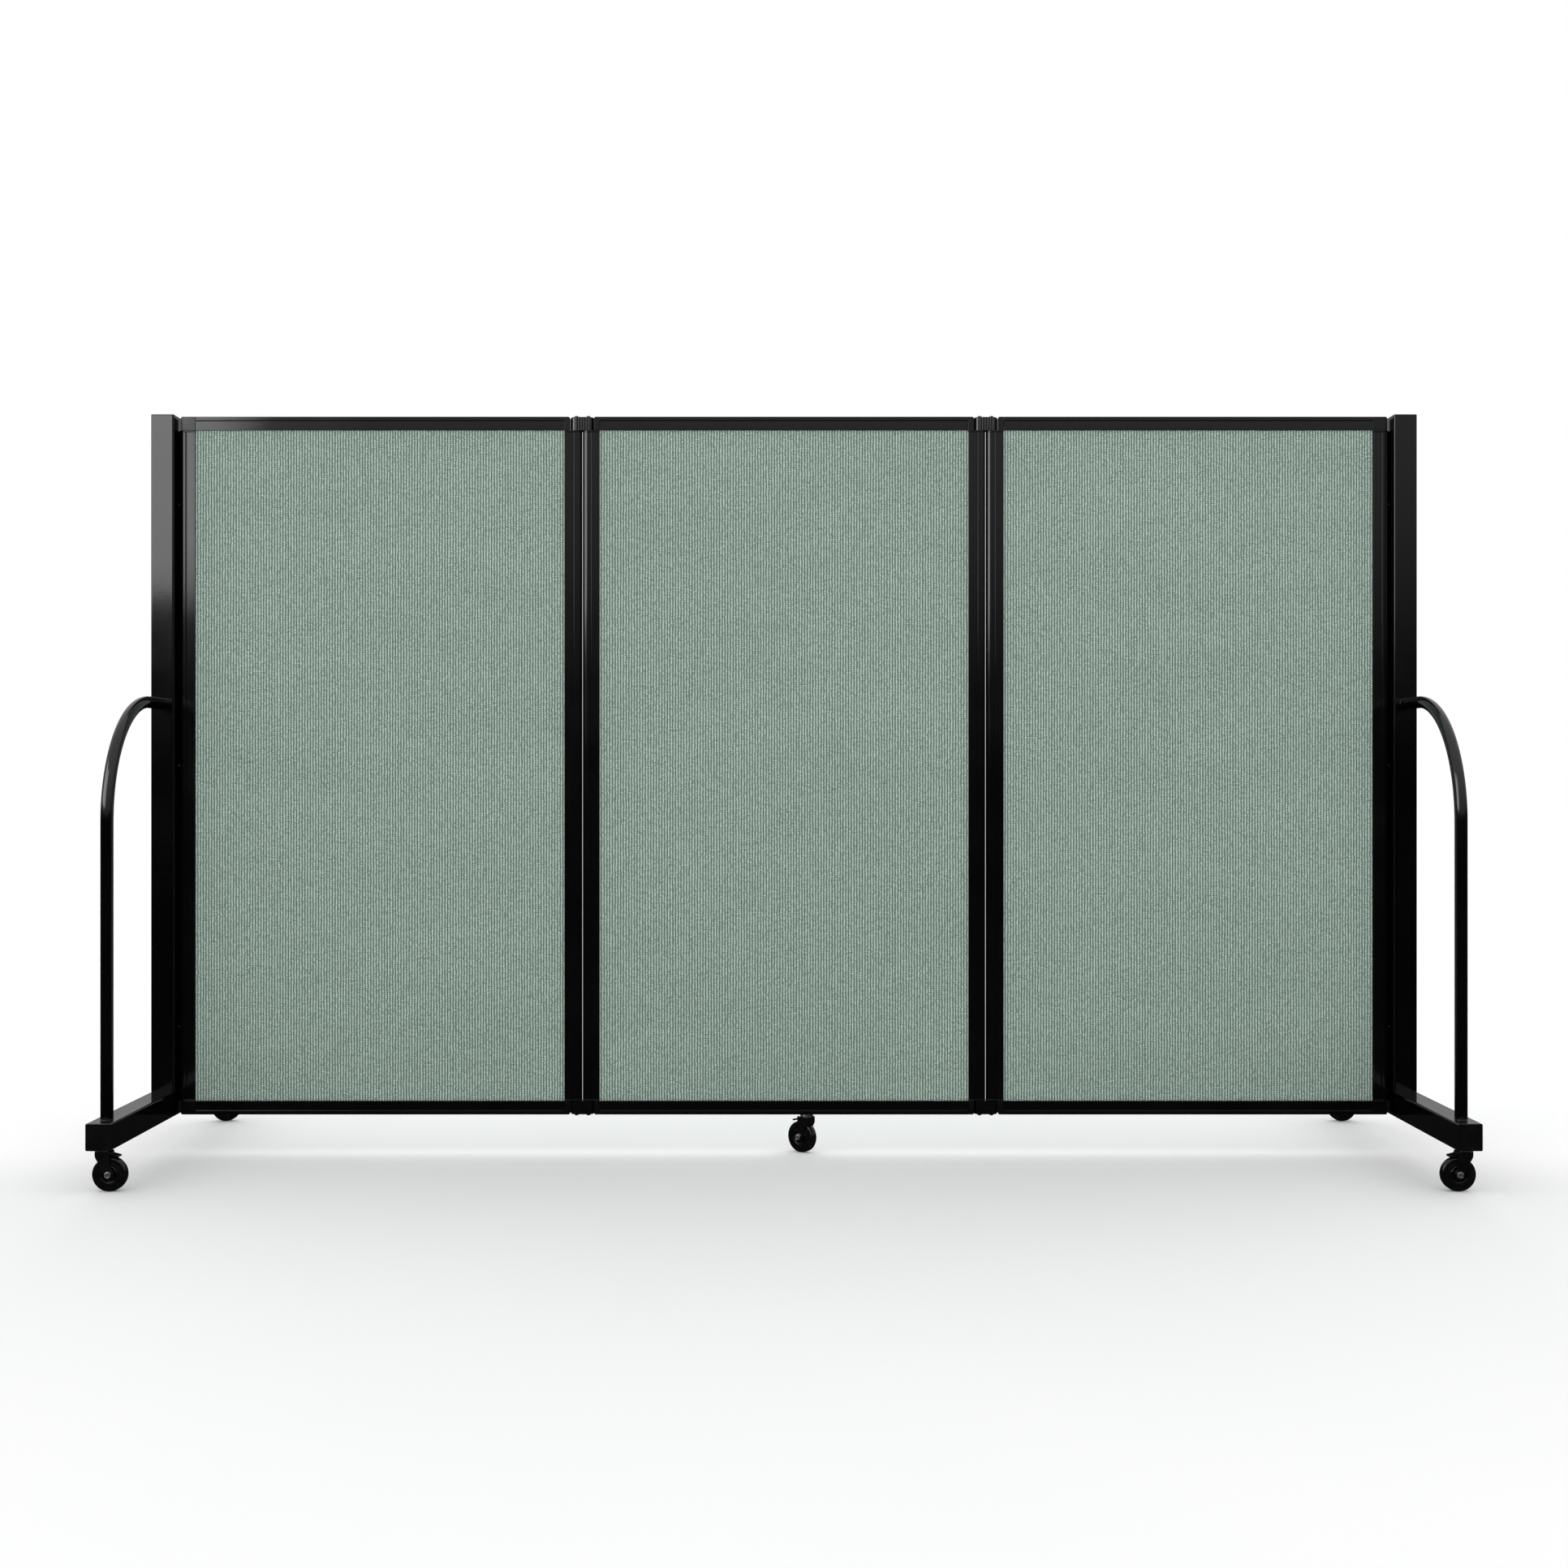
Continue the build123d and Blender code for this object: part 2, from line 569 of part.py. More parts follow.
make_panel("left", -post_face_x, -hinge_x - nose_tip_x, False, True)
make_panel("centre", -hinge_x + nose_tip_x, hinge_x - nose_tip_x, True, True)
make_panel("right", hinge_x + nose_tip_x, post_face_x, True, False)
make_hinge("left", -hinge_x)
make_hinge("right", hinge_x)
make_end_frame("left", mirrored=True)
make_end_frame("right", mirrored=False)
save("centre_caster_stem", *[Pos(CENTRE_CASTER_X, 0, 0) * piece for piece in centre_stem()])

# name, x, y, heading of the trailing wheel, side of the bolt head
CASTERS = (
    ("left_front", -post_x, -CASTER_STAND, 0, -1),
    ("left_back", -post_x, CASTER_STAND, 0, -1),
    ("right_front", post_x, -CASTER_STAND, 180, 1),
    ("right_back", post_x, CASTER_STAND, 180, 1),
    ("centre", CENTRE_CASTER_X, 0, 140, 1),
)
for caster in CASTERS:
    make_caster(*caster)
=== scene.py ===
"""Looks of a folding partition wall on casters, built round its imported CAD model.

Three cloth panels in black frames hang on double-pin hinges between two end frames. Each end frame has a
post, a foot and two bent tube handles, and the wall stands on five swivel casters. Everything is in metres:
+X runs along the wall, +Z is up, and the front looks towards -Y.
"""

import enum
import logging
import math
from collections.abc import Callable, Iterator
from contextlib import contextmanager
from dataclasses import dataclass, field

import bmesh
import bpy
from mathutils import Matrix, Vector


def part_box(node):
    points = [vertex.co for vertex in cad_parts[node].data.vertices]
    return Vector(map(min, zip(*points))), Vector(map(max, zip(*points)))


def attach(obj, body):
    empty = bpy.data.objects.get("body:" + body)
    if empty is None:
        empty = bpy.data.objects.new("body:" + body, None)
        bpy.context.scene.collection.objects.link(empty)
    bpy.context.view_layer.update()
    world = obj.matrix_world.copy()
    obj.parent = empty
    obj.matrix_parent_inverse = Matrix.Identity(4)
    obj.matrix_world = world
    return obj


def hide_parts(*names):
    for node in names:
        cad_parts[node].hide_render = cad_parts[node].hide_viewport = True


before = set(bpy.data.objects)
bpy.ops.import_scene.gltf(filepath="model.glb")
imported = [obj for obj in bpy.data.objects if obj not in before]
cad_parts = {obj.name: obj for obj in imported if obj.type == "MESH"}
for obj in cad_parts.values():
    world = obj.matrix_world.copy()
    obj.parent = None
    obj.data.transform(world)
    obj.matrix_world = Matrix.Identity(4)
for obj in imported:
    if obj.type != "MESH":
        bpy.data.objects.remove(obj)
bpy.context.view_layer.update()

log = logging.getLogger("partition wall")

Piece = bpy.types.Object
Point = tuple[float, float, float]
Test = Callable[[Vector, Vector], bool]

EASE = 0.0002  # how far a slot or groove stops short of the end of its piece
FRONT_AND_BACK = (-1, 1)
CASTER_STAND = 0.248  # the wall's middle plane to the stem of an end caster
CENTRE_CASTER_X = 0.0315


# ---- Modelling by hand ----


class Kind(enum.Enum):
    """What a selection is made of."""

    FACE = "FACE"
    EDGE = "EDGE"


def put_down_all() -> None:
    """Deselects every object, so that a tool acts only on the piece it is meant for."""
    for each in bpy.context.selected_objects:
        each.select_set(False)


def take_up(piece: Piece) -> None:
    """Selects one piece alone and makes it the active one.

    Args:
        piece: The piece.
    """
    put_down_all()
    piece.select_set(True)
    bpy.context.view_layer.objects.active = piece


@contextmanager
def shaping(piece: Piece) -> Iterator[None]:
    """Opens a piece in edit mode with nothing selected.

    Args:
        piece: The piece to shape.

    Yields:
        Nothing; the piece is closed again when the block ends.
    """
    take_up(piece)
    bpy.ops.object.mode_set(mode="EDIT")
    bpy.ops.mesh.select_mode(type=Kind.FACE.value)
    bpy.ops.mesh.select_all(action="DESELECT")
    yield
    bpy.ops.object.mode_set(mode="OBJECT")
    piece.select_set(False)


def pick(piece: Piece, test: Test, kind: Kind = Kind.FACE) -> int:
    """Selects the faces or edges of an open piece that pass a test, and nothing else.

    Args:
        piece: The piece, open in edit mode.
        test: Given a face's centre and normal, or an edge's centre and direction.
        kind: Whether faces or edges are wanted.

    Returns:
        How many were selected.
    """
    bpy.ops.mesh.select_mode(type=kind.value)
    bpy.ops.mesh.select_all(action="DESELECT")
    mesh = bmesh.from_edit_mesh(piece.data)
    found = 0
    if kind is Kind.FACE:
        for face in mesh.faces:
            if test(face.calc_center_median(), face.normal):
                face.select_set(True)
                found += 1
    else:
        for edge in mesh.edges:
            start, end = (vertex.co for vertex in edge.verts)
            if test((start + end) / 2, (end - start).normalized()):
                edge.select_set(True)
                found += 1
    bmesh.update_edit_mesh(piece.data)
    return found


def cut(at: Point, across: Point) -> None:
    """Cuts the open piece along a plane, and keeps both sides.

    Args:
        at: A point of the plane.
        across: The plane's normal.
    """
    bpy.ops.mesh.select_all(action="SELECT")
    bpy.ops.mesh.bisect(plane_co=at, plane_no=across)
    bpy.ops.mesh.select_all(action="DESELECT")


def pull(move: Point) -> None:
    """Extrudes what is selected in the open piece by a move."""
    bpy.ops.mesh.extrude_region_move(TRANSFORM_OT_translate={"value": move})


def round_over(width: float, steps: int) -> None:
    """Rounds the selected edges of the open piece."""
    bpy.ops.mesh.bevel(offset=width, segments=steps, affect="EDGES")


def block(name: str, low: Point, high: Point) -> Piece:
    """Adds a cube primitive between two corners.

    Args:
        name: The piece's name.
        low: Its lowest corner.
        high: Its highest corner.

    Returns:
        The new piece, with its place in its mesh.
    """
    put_down_all()
    middle = [(a + b) / 2 for a, b in zip(low, high)]
    size = [b - a for a, b in zip(low, high)]
    bpy.ops.mesh.primitive_cube_add(size=1, location=middle)
    bpy.context.object.scale = size
    return settle(bpy.context.object, name)


def rod(name: str, start: Point, end: Point, radius: float, sides: int = 48) -> Piece:
    """Adds a cylinder primitive between two points.

    Args:
        name: The piece's name.
        start: Centre of one end.
        end: Centre of the other.
        radius: Its radius.
        sides: How many sides its circle has.

    Returns:
        The new piece, with its place in its mesh.
    """
    put_down_all()
    run = Vector(end) - Vector(start)
    bpy.ops.mesh.primitive_cylinder_add(
        vertices=sides,
        radius=radius,
        depth=run.length,
        location=(Vector(start) + Vector(end)) / 2,
        rotation=run.to_track_quat("Z", "Y").to_euler(),
    )
    return settle(bpy.context.object, name)


def settle(piece: Piece, name: str) -> Piece:
    """Names a new piece and puts its place, turn and size into its mesh.

    Args:
        piece: The piece as it was added.
        name: Its name.

    Returns:
        The same piece, its object at the origin.
    """
    take_up(piece)
    bpy.ops.object.transform_apply(location=True, rotation=True, scale=True)
    piece.name = name
    piece.data.name = name
    return piece


def apply_modifier(piece: Piece, kind: str, **settings: object) -> None:
    """Adds one modifier to a piece, sets it, and applies it.

    Args:
        piece: The piece.
        kind: Blender's name for the modifier's type.
        **settings: Values to set on it.
    """
    take_up(piece)
    modifier = piece.modifiers.new(kind.title(), kind)
    for key, value in settings.items():
        setattr(modifier, key, value)
    bpy.ops.object.modifier_apply(modifier=modifier.name)


def ease_edges(piece: Piece, width: float, steps: int = 2, sharp: float = 35.0) -> Piece:
    """Rounds every sharp edge a little and evens the shading of its flats.

    Args:
        piece: The piece.
        width: How wide each rounded edge is.
        steps: How many faces go round it.
        sharp: Edges that turn by more degrees than this are rounded.

    Returns:
        The same piece.
    """
    apply_modifier(
        piece,
        "BEVEL",
        width=width,
        segments=steps,
        limit_method="ANGLE",
        angle_limit=math.radians(sharp),
        use_clamp_overlap=False,
        miter_outer="MITER_ARC",
    )
    take_up(piece)
    bpy.ops.object.shade_smooth_by_angle(angle=math.radians(50))
    apply_modifier(piece, "WEIGHTED_NORMAL", keep_sharp=True)
    return piece


def join(name: str, parts: list[Piece]) -> Piece:
    """Makes one piece of several.

    Args:
        name: The name of the result.
        parts: The pieces to join.

    Returns:
        The joined piece.
    """
    take_up(parts[0])
    for part in parts[1:]:
        part.select_set(True)
    if len(parts) > 1:
        bpy.ops.object.join()
    return settle(parts[0], name)


def copy_of(piece: Piece, name: str, move: Matrix) -> Piece:
    """Copies a piece with a mesh of its own, moved in its mesh.

    Args:
        piece: The piece to copy.
        name: The copy's name.
        move: Where the copy goes.

    Returns:
        The copy.
    """
    twin = bpy.data.objects.new(name, piece.data.copy())
    bpy.context.scene.collection.objects.link(twin)
    twin.data.name = name
    twin.data.transform(move)
    return twin


def taken_from_cad(node: str, name: str) -> Piece:
    """Copies a CAD node's mesh as a new piece, merged into closed faces without needless edges.

    Args:
        node: The CAD node.
        name: The new piece's name.

    Returns:
        The new piece.
    """
    piece = copy_of(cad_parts[node], name, Matrix.Identity(4))
    piece.data.materials.clear()
    with shaping(piece):
        bpy.ops.mesh.select_all(action="SELECT")
        bpy.ops.mesh.remove_doubles(threshold=1e-5)
        bpy.ops.mesh.dissolve_limited(angle_limit=math.radians(0.5))
    return piece


def discard(piece: Piece) -> None:
    """Removes a piece that was only needed to shape others."""
    bpy.data.objects.remove(piece)


# ---- Finishes ----


class Run(enum.Enum):
    """Which way a section was drawn or a cord runs."""

    ALONG = (1.0, 0.0, 0.0)
    UP = (0.0, 0.0, 1.0)


class Recipe:
    """A material under construction: one Principled surface and the nodes that feed it."""

    def __init__(self, name: str) -> None:
        """Starts a material with an empty Principled surface.

        Args:
            name: The material's name.
        """
        self.material = bpy.data.materials.new(name)
        self.material.use_nodes = True
        self.tree = self.material.node_tree
        self.surface = self.tree.nodes["Principled BSDF"]
        self.place = self.node("ShaderNodeTexCoord").outputs["Object"]

    def node(self, kind: str, **settings: object) -> bpy.types.Node:
        """Adds a node and sets its properties.

        Args:
            kind: Blender's name for the node's type.
            **settings: Properties to set on it.

        Returns:
            The node.
        """
        made = self.tree.nodes.new(kind)
        for key, value in settings.items():
            setattr(made, key, value)
        return made

    def feed(self, value: object, socket: bpy.types.NodeSocket) -> None:
        """Links an output to a socket, or sets a plain value on it.

        Args:
            value: An output of another node, or a plain value.
            socket: The input that takes it.
        """
        if isinstance(value, bpy.types.NodeSocket):
            self.tree.links.new(value, socket)
        else:
            socket.default_value = value

    def math(self, operation: str, *values: object) -> bpy.types.NodeSocket:
        """Works out one number.

        Args:
            operation: A Math node's operation.
            *values: Its inputs, as numbers or outputs of other nodes.

        Returns:
            The result.
        """
        made = self.node("ShaderNodeMath", operation=operation)
        for value, socket in zip(values, made.inputs):
            self.feed(value, socket)
        return made.outputs[0]

    def stretched(self, scale: Point) -> bpy.types.NodeSocket:
        """Multiplies the object's coordinates axis by axis.

        Args:
            scale: The factor along X, Y and Z.

        Returns:
            The coordinates.
        """
        made = self.node("ShaderNodeMapping")
        self.feed(self.place, made.inputs["Vector"])
        made.inputs["Scale"].default_value = scale
        return made.outputs["Vector"]

    def noise(self, scale: Point, detail: float = 3.0, rough: float = 0.5) -> bpy.types.NodeSocket:
        """Noise of the given size along each axis.

        Args:
            scale: Cells per metre along X, Y and Z.
            detail: How many finer layers it has.
            rough: How strong they are.

        Returns:
            A number from 0 to 1.
        """
        made = self.node("ShaderNodeTexNoise")
        self.feed(self.stretched(scale), made.inputs["Vector"])
        made.inputs["Scale"].default_value = 1.0
        made.inputs["Detail"].default_value = detail
        made.inputs["Roughness"].default_value = rough
        return made.outputs["Fac"]

    def ramp(self, value: object, *stops: tuple[float, tuple]) -> bpy.types.NodeSocket:
        """Turns a number into a colour.

        Args:
            value: The number.
            *stops: Places from 0 to 1 and the colour at each.

        Returns:
            The colour.
        """
        made = self.node("ShaderNodeValToRGB")
        self.feed(value, made.inputs["Fac"])
        points = made.color_ramp.elements
        while len(points) < len(stops):
            points.new(0.5)
        for point, (at, colour) in zip(points, stops):
            point.position = at
            point.color = (*colour, 1.0)
        return made.outputs["Color"]

    def spread(self, value: object, low: float, high: float) -> bpy.types.NodeSocket:
        """Spreads a number that is about 0.3 to 0.7 over a range of its own.

        Args:
            value: The number, as a noise gives it.
            low: What 0.3 becomes.
            high: What 0.7 becomes.

        Returns:
            The number in its new range.
        """
        made = self.node("ShaderNodeMapRange")
        self.feed(value, made.inputs["Value"])
        for socket, number in zip(("From Min", "From Max", "To Min", "To Max"), (0.3, 0.7, low, high)):
            made.inputs[socket].default_value = number
        return made.outputs["Result"]

    def relief(self, height: object, depth: float, strength: float) -> bpy.types.NodeSocket:
        """Raises the surface by a height.

        Args:
            height: The height, from 0 to 1.
            depth: How many metres 1 stands for.
            strength: How much of it shows.

        Returns:
            The normal.
        """
        made = self.node("ShaderNodeBump")
        self.feed(height, made.inputs["Height"])
        made.inputs["Distance"].default_value = depth
        made.inputs["Strength"].default_value = strength
        return made.outputs["Normal"]

    def set(self, **values: object) -> None:
        """Feeds the surface's sockets; a space in a socket's name is written as an underscore."""
        for key, value in values.items():
            self.feed(value, self.surface.inputs[key.replace("_", " ")])


@dataclass(frozen=True)
class GlossPaint:
    """Stoved gloss enamel on steel: deep, a little wavy, with fine scuffs."""

    name: str = "gloss_paint"
    tone: tuple = (0.0005, 0.0005, 0.0006)
    dust: tuple = (0.0016, 0.0016, 0.0018)
    gloss: float = 0.1

    def material(self) -> bpy.types.Material:
        """Lays out the finish.

        Returns:
            Its material.
        """
        r = Recipe(self.name)
        haze = r.noise((9, 9, 9), 4)
        scuffs = r.noise((60, 60, 900), 2)
        r.set(
            Base_Color=r.ramp(r.math("MULTIPLY", haze, scuffs), (0.2, self.tone), (0.55, self.dust)),
            Roughness=r.spread(r.math("MULTIPLY", haze, 1.0), self.gloss - 0.02, self.gloss + 0.04),
            Specular_IOR_Level=0.5,
            Normal=r.relief(r.noise((260, 260, 260), 1), 0.00004, 0.25),
        )
        return r.material


@dataclass(frozen=True)
class DrawnSection:
    """Painted aluminium section, with the faint lines of its drawing under the gloss."""

    name: str
    run: Run
    tone: tuple = (0.0014, 0.0014, 0.0015)
    worn: tuple = (0.003, 0.003, 0.0032)
    gloss: float = 0.11

    def material(self) -> bpy.types.Material:
        """Lays out the finish.

        Returns:
            Its material.
        """
        r = Recipe(self.name)
        lines = tuple(3.0 if along else 1500.0 for along in self.run.value)
        drawn = r.noise(lines, 2)
        haze = r.noise((12, 12, 12), 4)
        r.set(
            Base_Color=r.ramp(r.math("MULTIPLY", drawn, haze), (0.2, self.tone), (0.6, self.worn)),
            Roughness=r.spread(haze, self.gloss - 0.02, self.gloss + 0.05),
            Specular_IOR_Level=0.5,
            Normal=r.relief(drawn, 0.00002, 0.3),
        )
        return r.material


@dataclass(frozen=True)
class MouldedPlastic:
    """Injection-moulded plastic with a fine spark-eroded grain."""

    name: str
    tone: tuple = (0.0012, 0.0012, 0.0014)
    gloss: float = 0.24
    grain: float = 0.00003

    def material(self) -> bpy.types.Material:
        """Lays out the finish.

        Returns:
            Its material.
        """
        r = Recipe(self.name)
        cloud = r.noise((45, 45, 45), 3)
        fine = r.noise((2600, 2600, 2600), 2)
        pale = tuple(1.8 * part for part in self.tone)
        r.set(
            Base_Color=r.ramp(cloud, (0.35, self.tone), (0.75, pale)),
            Roughness=r.spread(cloud, self.gloss - 0.02, self.gloss + 0.03),
            Specular_IOR_Level=0.5,
            Normal=r.relief(fine, self.grain, 0.5),
        )
        return r.material


@dataclass(frozen=True)
class TyreRubber:
    """Hard polyurethane tread, slightly dusty where it rolls."""

    name: str = "tyre_rubber"
    tone: tuple = (0.002, 0.002, 0.0022)
    dust: tuple = (0.007, 0.0068, 0.0066)

    def material(self) -> bpy.types.Material:
        """Lays out the finish.

        Returns:
            Its material.
        """
        r = Recipe(self.name)
        dusty = r.noise((180, 180, 180), 5, 0.6)
        fine = r.noise((1800, 1800, 1800), 2)
        r.set(
            Base_Color=r.ramp(dusty, (0.45, self.tone), (0.85, self.dust)),
            Roughness=r.spread(dusty, 0.12, 0.2),
            Specular_IOR_Level=0.5,
            Normal=r.relief(fine, 0.00006, 0.4),
        )
        return r.material


@dataclass(frozen=True)
class ZincPlate:
    """Bright zinc plate: brushed, with slight clouding."""

    name: str = "zinc_plate"
    bright: tuple = (0.62, 0.62, 0.6)
    dull: tuple = (0.36, 0.36, 0.37)

    def material(self) -> bpy.types.Material:
        """Lays out the finish.

        Returns:
            Its material.
        """
        r = Recipe(self.name)
        cloud = r.noise((320, 320, 320), 4)
        brushed = r.noise((300, 300, 6000), 2)
        r.set(
            Base_Color=r.ramp(cloud, (0.3, self.dull), (0.65, self.bright)),
            Metallic=1.0,
            Roughness=r.spread(cloud, 0.24, 0.38),
            Normal=r.relief(brushed, 0.00003, 0.3),
        )
        return r.material


@dataclass(frozen=True)
class CoreBoard:
    """Pressed fibre board with flecks in its faces."""

    name: str = "core_board"
    tone: tuple = (0.42, 0.33, 0.23)
    fleck: tuple = (0.26, 0.19, 0.12)

    def material(self) -> bpy.types.Material:
        """Lays out the finish.

        Returns:
            Its material.
        """
        r = Recipe(self.name)
        flecks = r.noise((700, 700, 250), 4, 0.65)
        r.set(
            Base_Color=r.ramp(flecks, (0.38, self.fleck), (0.6, self.tone)),
            Roughness=0.85,
            Normal=r.relief(flecks, 0.0002, 0.5),
        )
        return r.material


@dataclass(frozen=True)
class RibbedCloth:
    """Woven panel cloth: upright beaded cords, with a painted highlight on their crests and painted shade in
    the deep green between.
    """

    name: str = "ribbed_cloth"
    rib: float = 0.0038
    bead: float = 0.0029
    sway: float = 0.45  # of a cord's width
    wander: float = 2.4  # beads
    # Painted light: the first colour is painted shade between the cords, and the last is a painted highlight
    # on their crests.
    painted_shade_valley: tuple = (0.13, 0.19, 0.16)
    flank: tuple = (0.31, 0.395, 0.345)
    crest: tuple = (0.68, 0.83, 0.74)
    fleck: tuple = (0.33, 0.33, 0.27)

    def beads(self, r: Recipe) -> tuple[bpy.types.NodeSocket, bpy.types.NodeSocket]:
        """Lays out the cords and the beads along them.

        Args:
            r: The material under construction.

        Returns:
            How high a point stands on its bead, which the colour turns into a painted highlight, and how deep
            it lies in a pit between two cords, which darkens the colour as painted shade.
        """
        parts = r.node("ShaderNodeSeparateXYZ")
        r.feed(r.place, parts.inputs[0])
        across, _, up = parts.outputs
        sway = r.math("MULTIPLY_ADD", r.noise((70, 1, 110), 2), self.sway, -self.sway / 2)
        column = r.math("ADD", r.math("DIVIDE", across, self.rib), sway)
        number = r.math("ROUND", column)
        crest = r.math("COSINE", r.math("MULTIPLY", column, 2 * math.pi))
        # Each cord's beads start at a height of their own, half a bead off their neighbours', and wander.
        chance = r.node("ShaderNodeTexWhiteNoise", noise_dimensions="1D")
        r.feed(number, chance.inputs["W"])
        wander = r.math("MULTIPLY", r.noise((110, 1, 45), 2), self.wander)
        shift = r.math("ADD", r.math("MULTIPLY", chance.outputs["Value"], 0.6), wander)
        half = r.math("MULTIPLY", r.math("MODULO", number, 2.0), 0.5)
        row = r.math("ADD", r.math("DIVIDE", up, self.bead), r.math("ADD", shift, half))
        wave = r.math("COSINE", r.math("MULTIPLY", row, 2 * math.pi))
        tuft = r.math("MULTIPLY_ADD", crest, 0.5, 0.5)
        knots = r.math("MULTIPLY_ADD", wave, 0.5, 0.5)
        spot = r.node("ShaderNodeCombineXYZ")
        r.feed(number, spot.inputs["X"])
        r.feed(r.math("ROUND", row), spot.inputs["Y"])
        each = r.node("ShaderNodeTexWhiteNoise", noise_dimensions="2D")
        r.feed(spot.outputs[0], each.inputs["Vector"])
        size = r.math("MULTIPLY_ADD", each.outputs["Value"], 0.7, 0.6)
        lit = r.math("MULTIPLY", tuft, r.math("MULTIPLY", size, r.math("MULTIPLY_ADD", knots, 0.85, 0.25)))
        # Painted shade: how deep a point lies between two cords, used to darken the colour there.
        painted_pit_shade = r.math("MULTIPLY", r.math("SUBTRACT", 1.0, tuft), r.noise((450, 1, 520), 2))
        return lit, painted_pit_shade

    def colour(self, r: Recipe, mix: bpy.types.NodeSocket) -> bpy.types.NodeSocket:
        """Colours the cloth with a painted highlight on the cords' crests and painted shade between the
        cords, with a few stray yarns and faint patches.

        Args:
            r: The material under construction.
            mix: How much light a point of the weave catches.

        Returns:
            The colour.
        """
        # The ramp paints shade between the cords and a highlight on the crests.
        tone = r.ramp(mix, (0.12, self.painted_shade_valley), (0.42, self.flank), (0.9, self.crest))
        stray = r.node("ShaderNodeMix", data_type="RGBA", blend_type="MIX")
        astray = r.math("GREATER_THAN", r.noise((260, 260, 200), 1), 0.66)
        r.feed(r.math("MULTIPLY", astray, 0.2), stray.inputs["Factor"])
        r.feed(tone, stray.inputs["A"])
        stray.inputs["B"].default_value = (*self.fleck, 1.0)
        mottle = r.node("ShaderNodeMix", data_type="RGBA", blend_type="MULTIPLY")
        mottle.inputs["Factor"].default_value = 1.0
        r.feed(stray.outputs["Result"], mottle.inputs["A"])
        patches = r.ramp(r.noise((3, 3, 14), 4), (0.3, (0.93, 0.94, 0.94)), (0.7, (1.0, 1.0, 1.0)))
        r.feed(patches, mottle.inputs["B"])
        return mottle.outputs["Result"]

    def material(self) -> bpy.types.Material:
        """Lays out the cloth.

        Returns:
            Its material.
        """
        r = Recipe(self.name)
        yarn = r.noise((330, 330, 380), 2, 0.6)
        lit, painted_pit_shade = self.beads(r)
        # The colour is lightened on the beads as a painted highlight and darkened between the cords as
        # painted shade.
        soft = r.math("MULTIPLY_ADD", r.math("SUBTRACT", yarn, 0.25), 1.1, r.math("MULTIPLY", painted_pit_shade, -0.5))
        r.set(
            Base_Color=self.colour(r, r.math("MULTIPLY_ADD", lit, 0.8, soft)),
            Roughness=0.9,
            Specular_IOR_Level=0.2,
            Sheen_Weight=0.12,
            Sheen_Roughness=0.5,
            Normal=r.relief(r.math("ADD", lit, r.math("MULTIPLY", yarn, 0.3)), 0.0006, 0.7),
        )
        return r.material


@dataclass
class Finishes:
    """All the finishes of the wall, each made once."""

    paint: bpy.types.Material = field(default_factory=lambda: GlossPaint().material())
    along: bpy.types.Material = field(
        default_factory=lambda: DrawnSection("section_along", Run.ALONG).material()
    )
    upright: bpy.types.Material = field(
        default_factory=lambda: DrawnSection("section_upright", Run.UP).material()
    )
    plastic: bpy.types.Material = field(default_factory=lambda: MouldedPlastic("moulded_plastic").material())
    glossy: bpy.types.Material = field(
        default_factory=lambda: MouldedPlastic("glossy_plastic", (0.002, 0.002, 0.0023), 0.11).material()
    )
    rubber: bpy.types.Material = field(default_factory=lambda: TyreRubber().material())
    zinc: bpy.types.Material = field(default_factory=lambda: ZincPlate().material())
    board: bpy.types.Material = field(default_factory=lambda: CoreBoard().material())
    cloth: bpy.types.Material = field(default_factory=lambda: RibbedCloth().material())


def dress(piece: Piece, finish: bpy.types.Material) -> None:
    """Gives a piece one finish all over."""
    piece.data.materials.clear()
    piece.data.materials.append(finish)


def fit(piece: Piece, finish: bpy.types.Material, body: str, slot: str, *nodes: str) -> Piece:
    """Finishes a new piece, puts it on its body and hides the CAD nodes that it stands for.

    Args:
        piece: The piece.
        finish: Its material.
        body: The CAD body that it moves with.
        slot: Not used.
        *nodes: The CAD nodes that it replaces.

    Returns:
        The same piece.
    """
    dress(piece, finish)
    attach(piece, body)
    if nodes:
        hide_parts(*nodes)
    log.info("%-36s on %s", piece.name, body)
    return piece


def dress_node(node: str, finish: bpy.types.Material) -> None:
    """Gives a CAD node that is shown as it is a better finish.

    Args:
        node: The node.
        finish: Its material.
    """
    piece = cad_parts[node]
    for slot in piece.material_slots:
        slot.material = finish
    log.info("%-36s keeps its CAD shape", node)


# ---- Panels ----


